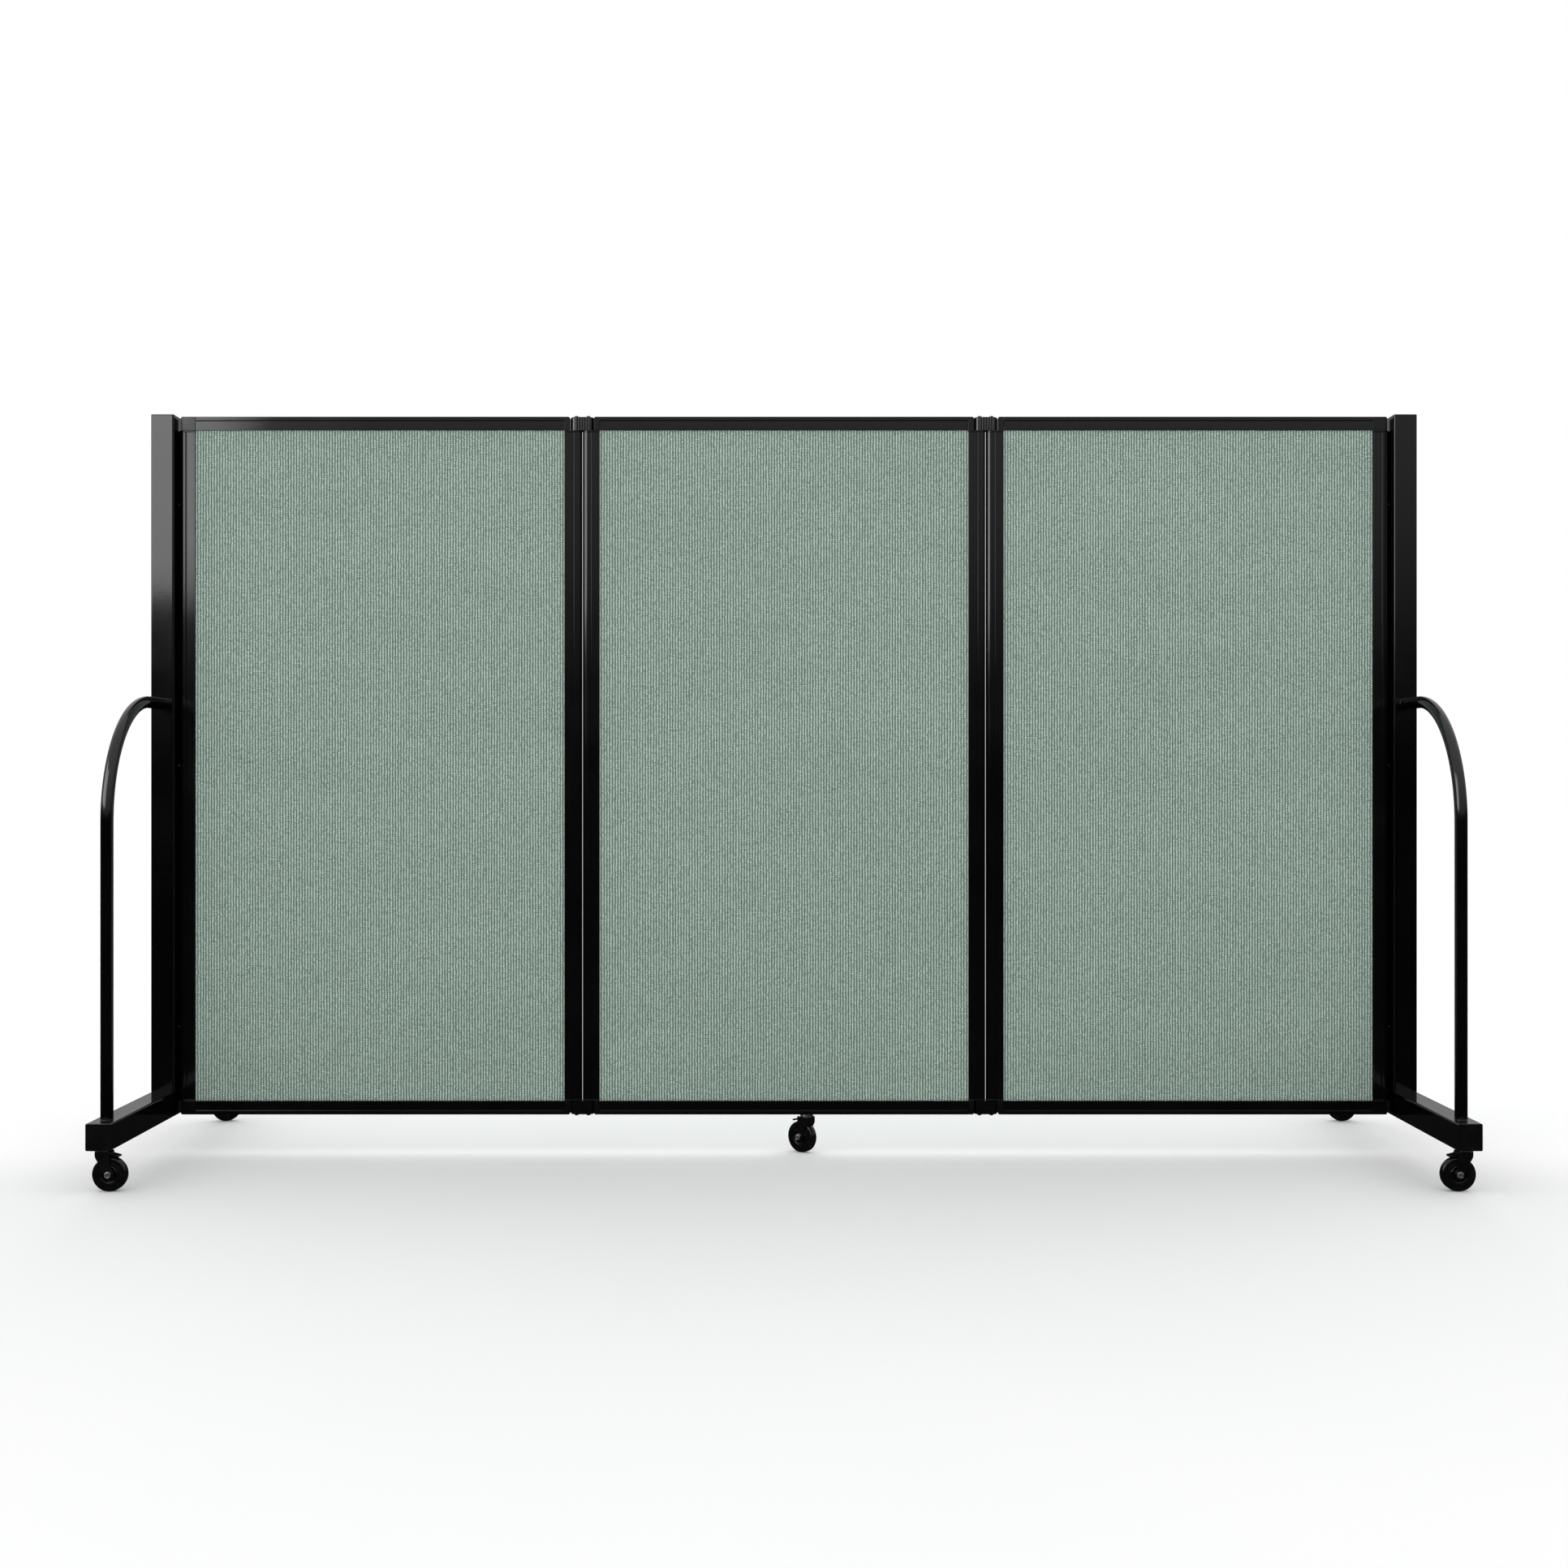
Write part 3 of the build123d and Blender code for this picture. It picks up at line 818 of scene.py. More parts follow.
@dataclass
class PanelFrame:
    """The stiles, rails and corner caps of one panel."""

    name: str
    body: str
    hinged: tuple[bool, bool]
    finishes: Finishes
    half: float = 0.008
    width: float = 0.024
    rail_height: float = 0.019
    plate: float = 0.002
    groove_depth: float = 0.0009
    stile_groove: tuple[float, float] = (0.011, 0.0124)
    rail_groove: tuple[float, float] = (0.0054, 0.0064)
    slot_half: float = 0.0063
    slot_depth: float = 0.0098
    cap_relief: float = 0.00035
    cap_setback: float = 0.004
    corner: float = 0.0025
    edge: float = 0.0004

    def __post_init__(self) -> None:
        """Reads where the panel stands from its CAD nodes."""
        low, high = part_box(f"{self.name}_stiles")
        self.left, self.right = low.x, high.x
        self.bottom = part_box(f"{self.name}_bottom_rail")[0].z
        self.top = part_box(f"{self.name}_top_rail")[1].z
        self.stile_low, self.stile_high = low.z, high.z

    def half_round(self, piece: Piece, tip: float) -> None:
        """Rounds the two upright edges at the tip of an open piece into a nose."""
        pick(piece, lambda c, run: abs(c.x - tip) < EASE and abs(run.z) > 0.99, Kind.EDGE)
        round_over(0.998 * self.half, 12)

    def stile(self, name: str, tip: float, inward: int) -> Piece:
        """Models one stile.

        Args:
            name: Its name.
            tip: X of the tip of its nose.
            inward: +1 if the panel lies towards +X of it, else -1.

        Returns:
            The stile, with its face grooves and its slot for the board.
        """
        back = tip + inward * self.width
        low = (min(tip, back), -self.half, self.stile_low)
        high = (max(tip, back), self.half, self.stile_high)
        piece = block(name, low, high)
        ends = (self.stile_low + EASE, self.stile_high - EASE)
        groove = sorted(tip + inward * at for at in self.stile_groove)
        web = tip + inward * self.stile_groove[1]

        def between(c: Vector) -> bool:
            """Whether a point lies between the stile's ends."""
            return ends[0] < c.z < ends[1]

        def in_slot(c: Vector) -> bool:
            """Whether a point lies in the strip where the board's slot opens."""
            return between(c) and abs(c.y) < self.slot_half and abs(c.x - back) < EASE

        with shaping(piece):
            self.half_round(piece, tip)
            for z in ends:
                cut((0, 0, z), (0, 0, 1))
            for x in groove:
                cut((x, 0, 0), (1, 0, 0))
            for side in FRONT_AND_BACK:
                pick(piece, lambda c, n: between(c) and side * n.y > 0.99 and groove[0] < c.x < groove[1])
                pull((0, -side * self.groove_depth, 0))
            for side in FRONT_AND_BACK:
                cut((0, side * self.slot_half, 0), (0, 1, 0))
            pick(piece, lambda c, n: in_slot(c) and inward * n.x > 0.99)
            pull((web - back, 0, 0))
        return piece

    def rail(self, name: str, outer: float, up: int) -> Piece:
        """Models one rail.

        Args:
            name: Its name.
            outer: Z of its outer edge.
            up: +1 for a top rail, -1 for a bottom rail.

        Returns:
            The rail, with its face grooves and its slot for the board.
        """
        start, end = self.left + self.width, self.right - self.width
        inner = outer - up * self.rail_height
        piece = block(name, (start, -self.half, min(outer, inner)), (end, self.half, max(outer, inner)))
        groove = sorted(outer - up * at for at in self.rail_groove)

        def between(c: Vector) -> bool:
            """Whether a point lies between the rail's ends."""
            return start + EASE < c.x < end - EASE

        def in_slot(c: Vector) -> bool:
            """Whether a point lies in the strip where the board's slot opens."""
            return between(c) and abs(c.y) < self.slot_half and abs(c.z - inner) < EASE

        with shaping(piece):
            for x in (start + EASE, end - EASE):
                cut((x, 0, 0), (1, 0, 0))
            for z in groove:
                cut((0, 0, z), (0, 0, 1))
            for side in FRONT_AND_BACK:
                pick(piece, lambda c, n: between(c) and side * n.y > 0.99 and groove[0] < c.z < groove[1])
                pull((0, -side * self.groove_depth, 0))
            for side in FRONT_AND_BACK:
                cut((0, side * self.slot_half, 0), (0, 1, 0))
            pick(piece, lambda c, n: in_slot(c) and up * n.z < -0.99)
            pull((0, 0, up * self.slot_depth))
        return piece

    def cap(self, name: str, tip: float, inward: int, outer: float, up: int, hinged: bool) -> Piece:
        """Models one corner cap: a block with a rounded corner on a flange over the stile.

        Args:
            name: Its name.
            tip: X of the tip of the stile's nose.
            inward: +1 if the panel lies towards +X of it, else -1.
            outer: Z of the panel's outer edge.
            up: +1 at the top of the panel, -1 at the bottom.
            hinged: Whether a link block turns beside it.

        Returns:
            The cap.
        """
        begin = 2 * self.half + self.cap_relief if hinged else self.cap_setback
        near, far = tip + inward * begin, tip + inward * self.width
        inner = outer - up * self.rail_height

        def at_corner(c: Vector) -> bool:
            """Whether a point lies on the head's outer corner."""
            return abs(c.x - near) < EASE and abs(c.z - outer) < EASE

        low = (min(near, far), -self.half, min(outer, inner))
        head = block(f"{name}_head", low, (max(near, far), self.half, max(outer, inner)))
        with shaping(head):
            pick(head, lambda c, run: at_corner(c) and abs(run.y) > 0.99, Kind.EDGE)
            round_over(self.corner, 5)
        under = inner - up * self.plate
        low = (min(tip, far), -self.half, min(under, inner))
        flange = block(f"{name}_flange", low, (max(tip, far), self.half, max(under, inner)))
        with shaping(flange):
            self.half_round(flange, tip)
        return join(name, [head, flange])

    def build(self) -> None:
        """Models the frame's four kinds of piece and puts each in place of its CAD node."""
        sides = ((self.left, 1, self.hinged[0]), (self.right, -1, self.hinged[1]))
        levels = ((self.top, 1), (self.bottom, -1))
        stiles = [
            self.stile(f"{self.name}_stile_{i}", tip, inward)
            for i, (tip, inward, _) in enumerate(sides)
        ]
        caps = [
            self.cap(f"{self.name}_cap_{i}", tip, inward, outer, up, hinged)
            for i, (tip, inward, hinged) in enumerate(sides)
            for outer, up in levels
        ]
        uprights = ease_edges(join(f"{self.name}_upright_sections", stiles), self.edge)
        fit(uprights, self.finishes.upright, self.body, "black_extrusion", f"{self.name}_stiles")
        corners = ease_edges(join(f"{self.name}_moulded_corners", caps), self.edge)
        fit(corners, self.finishes.plastic, self.body, "black_plastic", f"{self.name}_corner_caps")
        for word, (outer, up) in zip(("top", "bottom"), levels):
            piece = ease_edges(self.rail(f"{self.name}_{word}_section", outer, up), self.edge)
            fit(piece, self.finishes.along, self.body, "black_extrusion", f"{self.name}_{word}_rail")
        dress_node(f"{self.name}_core_board", self.finishes.board)


class Face(enum.Enum):
    """Which face of a panel a cloth covers; the value is the side along Y."""

    FRONT = -1
    BACK = 1


@dataclass
class PanelCloth:
    """One ribbed cloth, stretched over a face of a panel's board and held in the frame's slots."""

    panel: str
    face: Face
    body: str
    finishes: Finishes
    rib: float = 0.0038
    rib_depth: float = 0.0005
    steps: int = 6
    rows: int = 12
    thickness: float = 0.0006
    tuck: float = 0.008  # how far it reaches into the frame

    def build(self) -> Piece:
        """Models the cloth from a grid, one fold of relief for every cord.

        Returns:
            The cloth.
        """
        node = f"{self.panel}_panel_{self.face.name.lower()}_fabric"
        low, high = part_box(node)
        side = self.face.value
        outside = low.y if side < 0 else high.y
        width, length = high.x - low.x, high.z - low.z
        columns = round(width / self.rib * self.steps)
        put_down_all()
        bpy.ops.mesh.primitive_grid_add(
            x_subdivisions=columns,
            y_subdivisions=self.rows,
            size=1,
            location=((low.x + high.x) / 2, outside, (low.z + high.z) / 2),
            rotation=(-side * math.pi / 2, 0, 0),
        )
        bpy.context.object.scale = (width, length, 1)
        cloth = settle(bpy.context.object, f"{self.panel}_{self.face.name.lower()}_cloth")
        for vertex in cloth.data.vertices:
            crest = 0.5 + 0.5 * math.cos(2 * math.pi * vertex.co.x / self.rib)
            vertex.co.y = outside - side * self.rib_depth * (1 - crest)
        self.notch(cloth, low, high)
        apply_modifier(cloth, "SOLIDIFY", thickness=self.thickness, offset=-1.0)
        take_up(cloth)
        bpy.ops.object.shade_smooth_by_angle(angle=math.radians(60))
        fit(cloth, self.finishes.cloth, self.body, "panel_fabric", node)
        return cloth

    def notch(self, cloth: Piece, low: Vector, high: Vector) -> None:
        """Cuts the corners of the cloth away round the corner caps.

        Args:
            cloth: The flat cloth.
            low: Its lowest corner.
            high: Its highest corner.
        """
        frame_low, frame_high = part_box(f"{self.panel}_stiles")
        inset = self.tuck + EASE
        x0, x1 = low.x + inset, high.x - inset
        z0, z1 = frame_low.z + EASE, frame_high.z - EASE
        with shaping(cloth):
            for x in (x0, x1):
                cut((x, 0, 0), (1, 0, 0))
            for z in (z0, z1):
                cut((0, 0, z), (0, 0, 1))
            pick(cloth, lambda c, n: not x0 < c.x < x1 and not z0 < c.z < z1)
            bpy.ops.mesh.delete(type="FACE")


# ---- Hinges ----


@dataclass
class HingeLine:
    """The link blocks and pins of one hinge."""

    side: str
    finishes: Finishes
    pin_offset: float = 0.00825
    nose: float = 0.008
    ribs: int = 7
    rib_pitch: float = 0.0035
    flute: float = 0.0012
    flute_depth: float = 0.0009
    crown: float = 0.0015
    end_gap: float = 0.0004  # above and below a link block

    def link(self, name: str, middle: float, low: float, high: float, up: int) -> Piece:
        """Models one link block.

        Args:
            name: Its name.
            middle: X of the hinge line.
            low: Z of its underside.
            high: Z of its top.
            up: +1 if its rounded end is the top, else -1.

        Returns:
            The block, with rounded ends and upright ribs.
        """
        reach = self.pin_offset + self.nose
        piece = block(name, (middle - reach, -self.nose, low), (middle + reach, self.nose, high))
        with shaping(piece):
            pick(piece, lambda c, run: abs(run.z) > 0.99, Kind.EDGE)
            round_over(0.998 * self.nose, 12)
            pick(piece, lambda c, n: up * n.z > 0.99)
            bpy.ops.mesh.region_to_loop()
            round_over(self.crown, 4)
        cutters = []
        for number in range(self.ribs - 1):
            along = (number + 1 - self.ribs / 2) * self.rib_pitch
            over = max(abs(along) - self.pin_offset, 0.0)
            face = math.sqrt(self.nose**2 - over**2)
            for side in FRONT_AND_BACK:
                x, y = middle + along, side * (face + self.flute - self.flute_depth)
                cutters.append(rod("cutter", (x, y, low - 0.001), (x, y, high + 0.001), self.flute, 24))
        cutter = join("flute_cutters", cutters)
        apply_modifier(piece, "BOOLEAN", operation="DIFFERENCE", object=cutter, solver="EXACT")
        discard(cutter)
        return piece

    def build(self) -> None:
        """Models both link blocks, and dresses the pins."""
        body = f"{self.side}_link"
        node = f"{self.side}_link_blocks"
        low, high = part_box(node)
        middle = (low.x + high.x) / 2
        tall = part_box("centre_top_rail")
        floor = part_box("centre_bottom_rail")
        top = self.link(f"{self.side}_link_top", middle, tall[0].z + self.end_gap, high.z, 1)
        bottom = self.link(f"{self.side}_link_bottom", middle, low.z, floor[1].z - self.end_gap, -1)
        blocks = join(f"{self.side}_ribbed_links", [top, bottom])
        take_up(blocks)
        bpy.ops.object.shade_smooth_by_angle(angle=math.radians(40))
        fit(blocks, self.finishes.glossy, body, "black_plastic", node)
        dress_node(f"{self.side}_hinge_pins", self.finishes.plastic)


# ---- End frames ----


@dataclass
class EndFrame:
    """Post, foot, plugs, bent tube handles and their welds at one end of the wall."""

    side: str
    finishes: Finishes
    tube: float = 0.0079375
    bend: float = 0.1584
    reach: float = 0.2377
    height: float = 0.621
    weld: float = 0.0005
    ripple: float = 0.00015
    ripple_turn: float = 15.0  # degrees of weld that each ripple takes
    sides: int = 40

    def __post_init__(self) -> None:
        """Reads where the end frame stands from its CAD nodes."""
        low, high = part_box(f"{self.side}_post")
        self.middle = (low.x + high.x) / 2
        self.post_face = high.y
        self.foot_top = low.z

    def bent_tube(self, name: str, side: int) -> Piece:
        """Models one handle: a ring pulled straight, spun round the bend and pulled down.

        Args:
            name: Its name.
            side: -1 in front of the wall, +1 behind it.

        Returns:
            The tube.
        """
        put_down_all()
        bpy.ops.mesh.primitive_circle_add(
            vertices=self.sides,
            radius=self.tube,
            location=(self.middle, side * self.post_face, self.height),
            rotation=(math.pi / 2, 0, 0),
        )
        piece = settle(bpy.context.object, name)
        bend_start = side * (self.reach - self.bend)
        with shaping(piece):
            bpy.ops.mesh.select_mode(type=Kind.EDGE.value)
            bpy.ops.mesh.select_all(action="SELECT")
            pull((0, bend_start - side * self.post_face, 0))
            bpy.ops.mesh.spin(
                steps=36,
                angle=side * math.pi / 2,
                center=(self.middle, bend_start, self.height - self.bend),
                axis=(1, 0, 0),
            )
            pull((0, 0, self.foot_top - (self.height - self.bend)))
            bpy.ops.mesh.select_all(action="SELECT")
            bpy.ops.mesh.remove_doubles(threshold=1e-6)
            bpy.ops.mesh.fill_holes(sides=0)
            bpy.ops.mesh.normals_make_consistent(inside=False)
        return piece

    def weld_ring(self, name: str, at: Point, turn: Point) -> Piece:
        """Models the weld round the end of a tube: a ring drawn in towards the tube in small ripples.

        Args:
            name: Its name.
            at: Centre of the tube's end.
            turn: Euler angles that point the ring's axis away from the plate that it is welded to.

        Returns:
            The weld.
        """
        put_down_all()
        bpy.ops.mesh.primitive_torus_add(
            location=at,
            rotation=turn,
            major_radius=self.tube - 0.0002,
            minor_radius=self.weld,
            major_segments=72,
            minor_segments=12,
        )
        piece = settle(bpy.context.object, name)
        centre = Vector(at)
        with shaping(piece):
            bpy.ops.mesh.select_mode(type=Kind.FACE.value)
            pick(piece, lambda c, n: self.turn_of(c - centre, turn) // self.ripple_turn % 2 == 0)
            bpy.ops.transform.shrink_fatten(value=self.ripple)
        apply_modifier(piece, "SUBSURF", levels=1, render_levels=1)
        return piece

    @staticmethod
    def turn_of(offset: Vector, turn: Point) -> float:
        """The angle of an offset round a ring's own axis, from 0 to 360 degrees."""
        across = offset.y if turn == (0, 0, 0) else offset.z
        return math.degrees(math.atan2(across, offset.x) % (2 * math.pi))

    def build(self) -> None:
        """Models the handles and welds, and dresses the pieces that keep their CAD shape."""
        body = f"{self.side}_end"
        handles, welds = [], []
        for side in FRONT_AND_BACK:
            handles.append(self.bent_tube(f"{self.side}_handle_{side + 1}", side))
            at_post = (self.middle, side * self.post_face, self.height)
            at_foot = (self.middle, side * self.reach, self.foot_top)
            welds.append(self.weld_ring(f"{self.side}_weld_post_{side + 1}", at_post, (math.pi / 2, 0, 0)))
            welds.append(self.weld_ring(f"{self.side}_weld_foot_{side + 1}", at_foot, (0, 0, 0)))
        tubes = join(f"{self.side}_bent_handles", handles)
        take_up(tubes)
        bpy.ops.object.shade_smooth_by_angle(angle=math.radians(50))
        fit(tubes, self.finishes.paint, body, "black_paint", f"{self.side}_handles")
        rings = join(f"{self.side}_handle_welds", welds)
        take_up(rings)
        bpy.ops.object.shade_smooth()
        fit(rings, self.finishes.paint, body, "black_paint")
        dress_node(f"{self.side}_post", self.finishes.paint)
        dress_node(f"{self.side}_foot", self.finishes.paint)
        dress_node(f"{self.side}_tube_plugs", self.finishes.plastic)
        dress_node(f"{self.side}_panel_screws", self.finishes.zinc)
        dress_node(f"{self.side}_caster_stems", self.finishes.zinc)


# ---- Casters ----


@dataclass
class CasterKit:
    """The pieces of one caster, modelled with the stem on Z and the wheel trailing along +X."""

    finishes: Finishes
    wheel_radius: float = 0.0215
    wheel_width: float = 0.012
    tread: float = 0.007
    shoulder: float = 0.002
    trail: float = 0.008
    fork_half: float = 0.0088
    bolt_flats: float = 0.008
    bolt_head: float = 0.003
    dish_radius: float = 0.011
    dish_depth: float = 0.0025
    rim_radius: float = 0.0009
    boss_radius: float = 0.0055
    boss_foot: float = 0.0012
    boss_rise: float = 0.0004  # past the wheel's side
    bolt_chamfer: float = 0.0006
    shank_radius: float = 0.0025
    shank_tail: float = 0.001  # past the nut

    def tyre(self) -> Piece:
        """Models the tyre from a disc with rounded shoulders.

        Returns:
            The tyre, as a closed ring.
        """
        half = self.wheel_width / 2
        centre = Vector((self.trail, 0, self.wheel_radius))
        across = Vector((0, half, 0))
        piece = rod("tyre", centre - across, centre + across, self.wheel_radius, 72)
        with shaping(piece):
            pick(piece, lambda c, n: abs(n.y) > 0.99)
            bpy.ops.mesh.region_to_loop()
            round_over(self.shoulder, 5)
            pick(piece, lambda c, n: abs(n.y) > 0.99 and (c - centre).xz.length < 0.001)
            bpy.ops.mesh.inset(thickness=self.tread - self.shoulder)
            bpy.ops.mesh.bridge_edge_loops()
        return piece

    def hub(self) -> Piece:
        """Models the hub: a disc, dished on both sides, with a boss for the bolt.

        Returns:
            The hub.
        """
        half = self.wheel_width / 2
        core = self.wheel_radius - self.tread
        centre = Vector((self.trail, 0, self.wheel_radius))
        across = Vector((0, half, 0))
        piece = rod("hub", centre - across, centre + across, core, 64)
        for side in FRONT_AND_BACK:
            with shaping(piece):
                pick(piece, lambda c, n: side * n.y > 0.99)
                bpy.ops.mesh.inset(thickness=core - self.dish_radius)
                pull((0, -side * self.dish_depth, 0))
                bpy.ops.mesh.inset(thickness=self.dish_radius - self.boss_radius - self.boss_foot)
                bpy.ops.mesh.inset(thickness=self.boss_foot)
                pull((0, side * (self.dish_depth + self.boss_rise), 0))
        rims = [self.rim(side) for side in FRONT_AND_BACK]
        return join("hub", [ease_edges(piece, 0.0004, 3), *rims])

    def rim(self, side: int) -> Piece:
        """Models the rounded rim of the hub's dish.

        Args:
            side: The side of the wheel that it is on, along Y.

        Returns:
            The rim.
        """
        put_down_all()
        bpy.ops.mesh.primitive_torus_add(
            location=(self.trail, side * (self.wheel_width / 2 - self.rim_radius / 3), self.wheel_radius),
            rotation=(math.pi / 2, 0, 0),
            major_radius=self.dish_radius - self.rim_radius,
            minor_radius=self.rim_radius,
            major_segments=64,
            minor_segments=12,
        )
        piece = settle(bpy.context.object, "rim")
        take_up(piece)
        bpy.ops.object.shade_smooth()
        return piece

    def bolt(self, head_side: int) -> Piece:
        """Models the axle bolt's chamfered head and its nut.

        Args:
            head_side: The side of the fork that the head is on, along Y.

        Returns:
            The bolt.
        """
        radius = self.bolt_flats / math.sqrt(3)
        parts = []
        for side in FRONT_AND_BACK:
            face = side * self.fork_half
            start = Vector((self.trail, face, self.wheel_radius))
            end = start + Vector((0, side * self.bolt_head, 0))
            head = rod("head", start, end, radius, 6)
            with shaping(head):
                pick(head, lambda c, n: side * n.y > 0.99)
                bpy.ops.mesh.region_to_loop()
                round_over(self.bolt_chamfer, 2)
                pick(head, lambda c, n: side * n.y > 0.99)
                bpy.ops.mesh.inset(thickness=0.0008)
                pull((0, -side * 0.0003 if side == head_side else side * 0.0001, 0))
            parts.append(head)
        tail = self.fork_half + self.bolt_head + self.shank_tail
        start = (self.trail, -head_side * self.fork_half, self.wheel_radius)
        end = (self.trail, -head_side * tail, self.wheel_radius)
        shank = rod("shank", start, end, self.shank_radius, 24)
        with shaping(shank):
            pick(shank, lambda c, n: -head_side * n.y > 0.99)
            bpy.ops.mesh.region_to_loop()
            round_over(0.0005, 2)
        parts.append(shank)
        return ease_edges(join("bolt", parts), 0.00012, 2)

    @staticmethod
    def from_cad(piece_name: str) -> Piece:
        """Takes a fork or a pedal from the first caster's CAD node and eases its edges.

        Args:
            piece_name: Which piece it is, as the node's name ends.
        """
        piece = taken_from_cad(f"left_front_caster_{piece_name}", piece_name)
        low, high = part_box("left_foot")
        place = Vector(((low.x + high.x) / 2, -CASTER_STAND, 0))
        piece.data.transform(Matrix.Translation(-place))
        return ease_edges(piece, 0.0004, 2, 40.0)


@dataclass
class Caster:
    """One swivel caster where it stands."""

    name: str
    x: float
    y: float
    heading: float
    head_side: int

    def place(self) -> Matrix:
        return Matrix.Translation((self.x, self.y, 0)) @ Matrix.Rotation(math.radians(self.heading), 4, "Z")

    def build(self, kit: CasterKit, masters: dict[str, Piece]) -> None:
        """Args:
            kit: The sizes and finishes.
            masters: The pieces modelled once.
        """
        finishes = kit.finishes
        bolt = "bolt_left" if self.head_side < 0 else "bolt_right"
        pieces = (
            ("fork", "fork", finishes.plastic, "swivel", "black_plastic", "caster_fork"),
            ("tyre", "tyre", finishes.rubber, "wheel", "wheel_rubber", "caster_wheel"),
            ("hub", "hub", finishes.glossy, "wheel", "black_plastic", "caster_wheel"),
            ("bolt", bolt, finishes.zinc, "swivel", "zinc", "caster_axle_bolt"),
            ("brake", "pedal", finishes.plastic, "pedal", "black_plastic", "caster_brake_pedal"),
        )
        for word, master, finish, body, slot, node in pieces:
            piece = copy_of(masters[master], f"{self.name}_{word}", self.place())
            fit(piece, finish, f"{self.name}_{body}", slot, f"{self.name}_{node}")


def build_casters(finishes: Finishes) -> None:
    """Args:
        finishes: The wall's finishes.
    """
    kit = CasterKit(finishes)
    tyre = kit.tyre()
    take_up(tyre)
    bpy.ops.object.shade_smooth_by_angle(angle=math.radians(40))
    masters = {
        "fork": kit.from_cad("fork"),
        "tyre": tyre,
        "hub": kit.hub(),
        "bolt_left": kit.bolt(-1),
        "bolt_right": kit.bolt(1),
        "pedal": kit.from_cad("brake_pedal"),
    }
    low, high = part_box("right_foot")
    end = (low.x + high.x) / 2
    for caster in (
        Caster("left_front", -end, -CASTER_STAND, 0, -1),
        Caster("left_back", -end, CASTER_STAND, 0, -1),
        Caster("right_front", end, -CASTER_STAND, 180, 1),
        Caster("right_back", end, CASTER_STAND, 180, 1),
        Caster("centre", CENTRE_CASTER_X, 0.0, 140, 1),
    ):
        caster.build(kit, masters)
    for master in masters.values():
        discard(master)
    dress_node("centre_caster_stem", finishes.zinc)


# ---- Studio ----


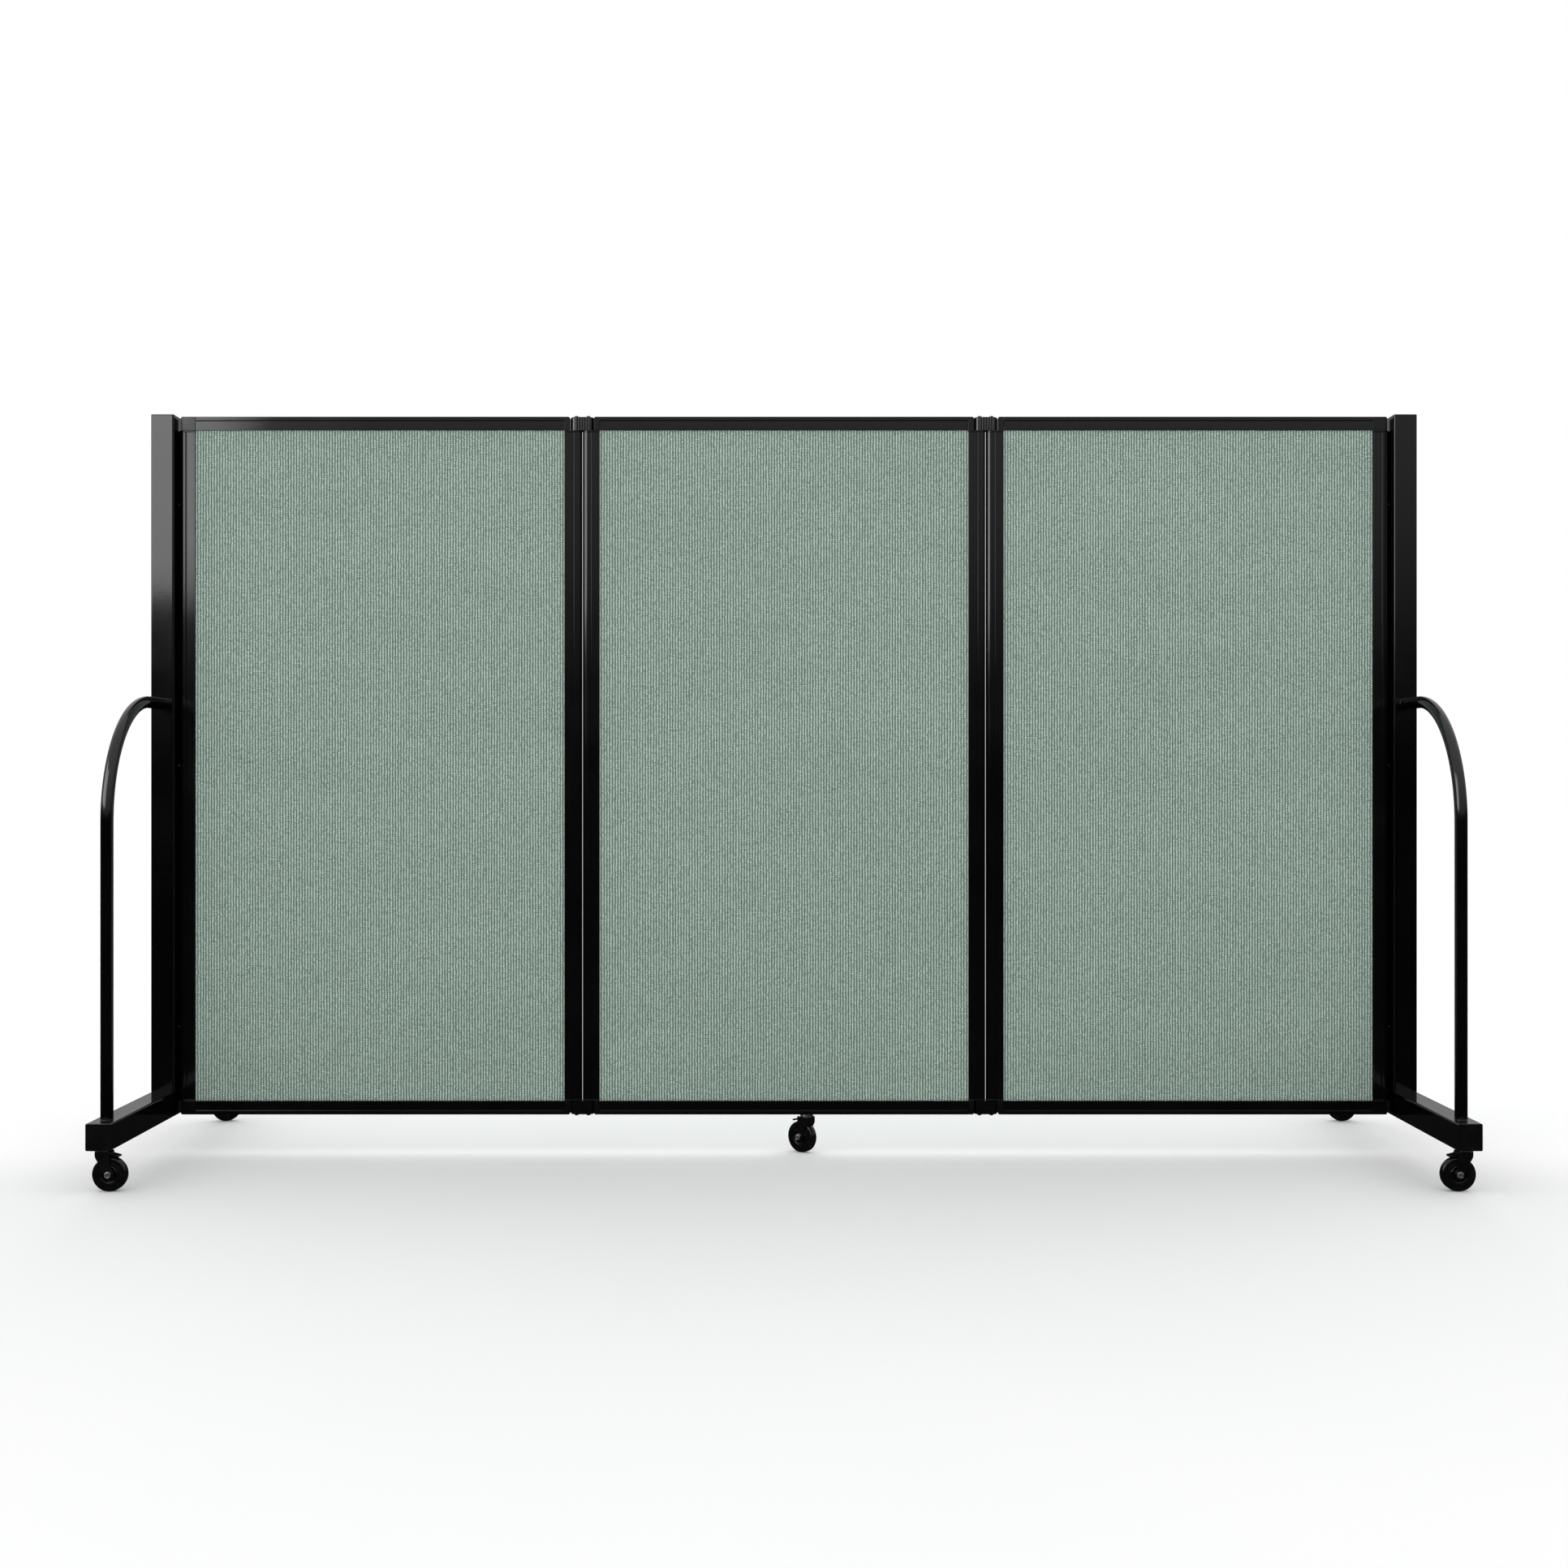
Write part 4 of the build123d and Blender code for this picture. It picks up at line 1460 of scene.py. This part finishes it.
@dataclass
class Studio:
    """Pale floor, soft light and the camera."""

    distance: float = 2.625
    eye: float = 0.511
    lens: float = 43.45
    key_power: float = 44.0
    side_power: float = 46.0
    back_light: float = 0.45
    sky_strength: float = 1.07
    sky: tuple = (
        (0.0, 0.03),
        (0.40, 0.02),
        (0.455, 0.017),
        (0.485, 0.014),
        (0.51, 0.018),
        (0.53, 0.06),
        (0.55, 0.24),
        (0.565, 0.38),
        (0.595, 0.5),
        (0.75, 0.8),
        (1.0, 1.0),
    )

    def floor(self) -> None:
        """Lays a pale floor with a slight unevenness in its sheen."""
        put_down_all()
        bpy.ops.mesh.primitive_grid_add(x_subdivisions=24, y_subdivisions=24, size=60, location=(0, 0, 0))
        ground = settle(bpy.context.object, "studio_floor")
        r = Recipe("pale_floor")
        tone = r.ramp(r.noise((2, 2, 2), 3), (0.3, (0.95, 0.95, 0.955)), (0.7, (0.965, 0.965, 0.965)))
        r.set(
            Base_Color=tone,
            Roughness=0.9,
            Specular_IOR_Level=0.1,
            Emission_Color=(1.0, 1.0, 1.0, 1.0),
            Emission_Strength=0.03,
        )
        dress(ground, r.material)
        ground.visible_glossy = False

    def world(self) -> None:
        """Surrounds the wall with white, and gives its gloss a room that darkens towards the horizon."""
        world = bpy.data.worlds.new("studio")
        bpy.context.scene.world = world
        world.use_nodes = True
        tree = world.node_tree
        nodes, links = tree.nodes, tree.links
        direction = nodes.new("ShaderNodeTexCoord").outputs["Generated"]
        split = nodes.new("ShaderNodeSeparateXYZ")
        links.new(direction, split.inputs[0])
        level = nodes.new("ShaderNodeMapRange")
        level.inputs["From Min"].default_value = -1.0
        links.new(split.outputs["Z"], level.inputs["Value"])
        room = nodes.new("ShaderNodeValToRGB")
        links.new(level.outputs["Result"], room.inputs["Fac"])
        stops = room.color_ramp.elements
        while len(stops) < len(self.sky):
            stops.new(0.5)
        for stop, (at, grey) in zip(stops, self.sky):
            stop.position = at
            stop.color = (grey, grey, grey, 1.0)
        rays = nodes.new("ShaderNodeLightPath")
        wash = nodes.new("ShaderNodeMath")
        wash.operation = "MULTIPLY_ADD"
        links.new(split.outputs["Y"], wash.inputs[0])
        wash.inputs[1].default_value = self.back_light
        wash.inputs[2].default_value = self.sky_strength
        plain = (1.0, 1.0, 1.0, 1.0)
        for ray, light in (("Is Diffuse Ray", wash.outputs[0]), ("Is Glossy Ray", room.outputs["Color"])):
            choice = nodes.new("ShaderNodeMix")
            choice.data_type = "RGBA"
            links.new(rays.outputs[ray], choice.inputs["Factor"])
            if isinstance(plain, tuple):
                choice.inputs["A"].default_value = plain
            else:
                links.new(plain, choice.inputs["A"])
            links.new(light, choice.inputs["B"])
            plain = choice.outputs["Result"]
        links.new(plain, nodes["Background"].inputs["Color"])
        nodes["Background"].inputs["Strength"].default_value = 1.0

    def soft_box(self, name: str, middle: Point, size: tuple[float, float], aim: Point, power: float) -> None:
        """Hangs one rectangular soft box.

        Args:
            name: The light's name.
            middle: Its middle.
            size: Its width and height.
            aim: The point that it faces.
            power: Its power in watts.
        """
        light = bpy.data.lights.new(name, "AREA")
        light.shape = "RECTANGLE"
        light.size, light.size_y = size
        light.energy = power
        lamp = bpy.data.objects.new(name, light)
        bpy.context.scene.collection.objects.link(lamp)
        lamp.visible_diffuse = False
        lamp.location = middle
        lamp.rotation_euler = (Vector(aim) - Vector(middle)).to_track_quat("-Z", "Y").to_euler()

    def camera(self) -> None:
        """Sets a level camera square to the wall, at half its height."""
        data = bpy.data.cameras.new("camera")
        data.lens = self.lens
        data.sensor_width = 36.0
        data.clip_end = 200.0
        seat = bpy.data.objects.new("camera", data)
        bpy.context.scene.collection.objects.link(seat)
        seat.location = (0, -self.distance, self.eye)
        seat.rotation_euler = (math.pi / 2, 0, 0)
        bpy.context.scene.camera = seat

    def build(self) -> None:
        """Sets up the floor, the lights and the camera."""
        self.floor()
        self.world()
        self.soft_box("key", (-2.4, -2.6, 2.05), (1.8, 2.04), (-2.4, 0.0, 2.05), self.key_power)
        self.soft_box("side", (-3.5, -1.65, 2.05), (1.7, 2.04), (-0.28, 0.0, 2.05), self.side_power)
        self.camera()
        view = bpy.context.scene.view_settings
        view.view_transform = "Standard"
        view.look = "None"


def main() -> None:
    """Builds the wall's sub-assemblies in order, then the studio round them."""
    logging.basicConfig(level=logging.INFO, format="%(message)s")
    finishes = Finishes()
    for name, body, hinged in (
        ("left", "left_end", (False, True)),
        ("centre", "centre_panel", (True, True)),
        ("right", "right_end", (True, False)),
    ):
        PanelFrame(name, body, hinged, finishes).build()
        for face in Face:
            PanelCloth(name, face, body, finishes).build()
    for side in ("left", "right"):
        HingeLine(side, finishes).build()
        EndFrame(side, finishes).build()
    build_casters(finishes)
    Studio().build()


if __name__ == "__main__":
    main()
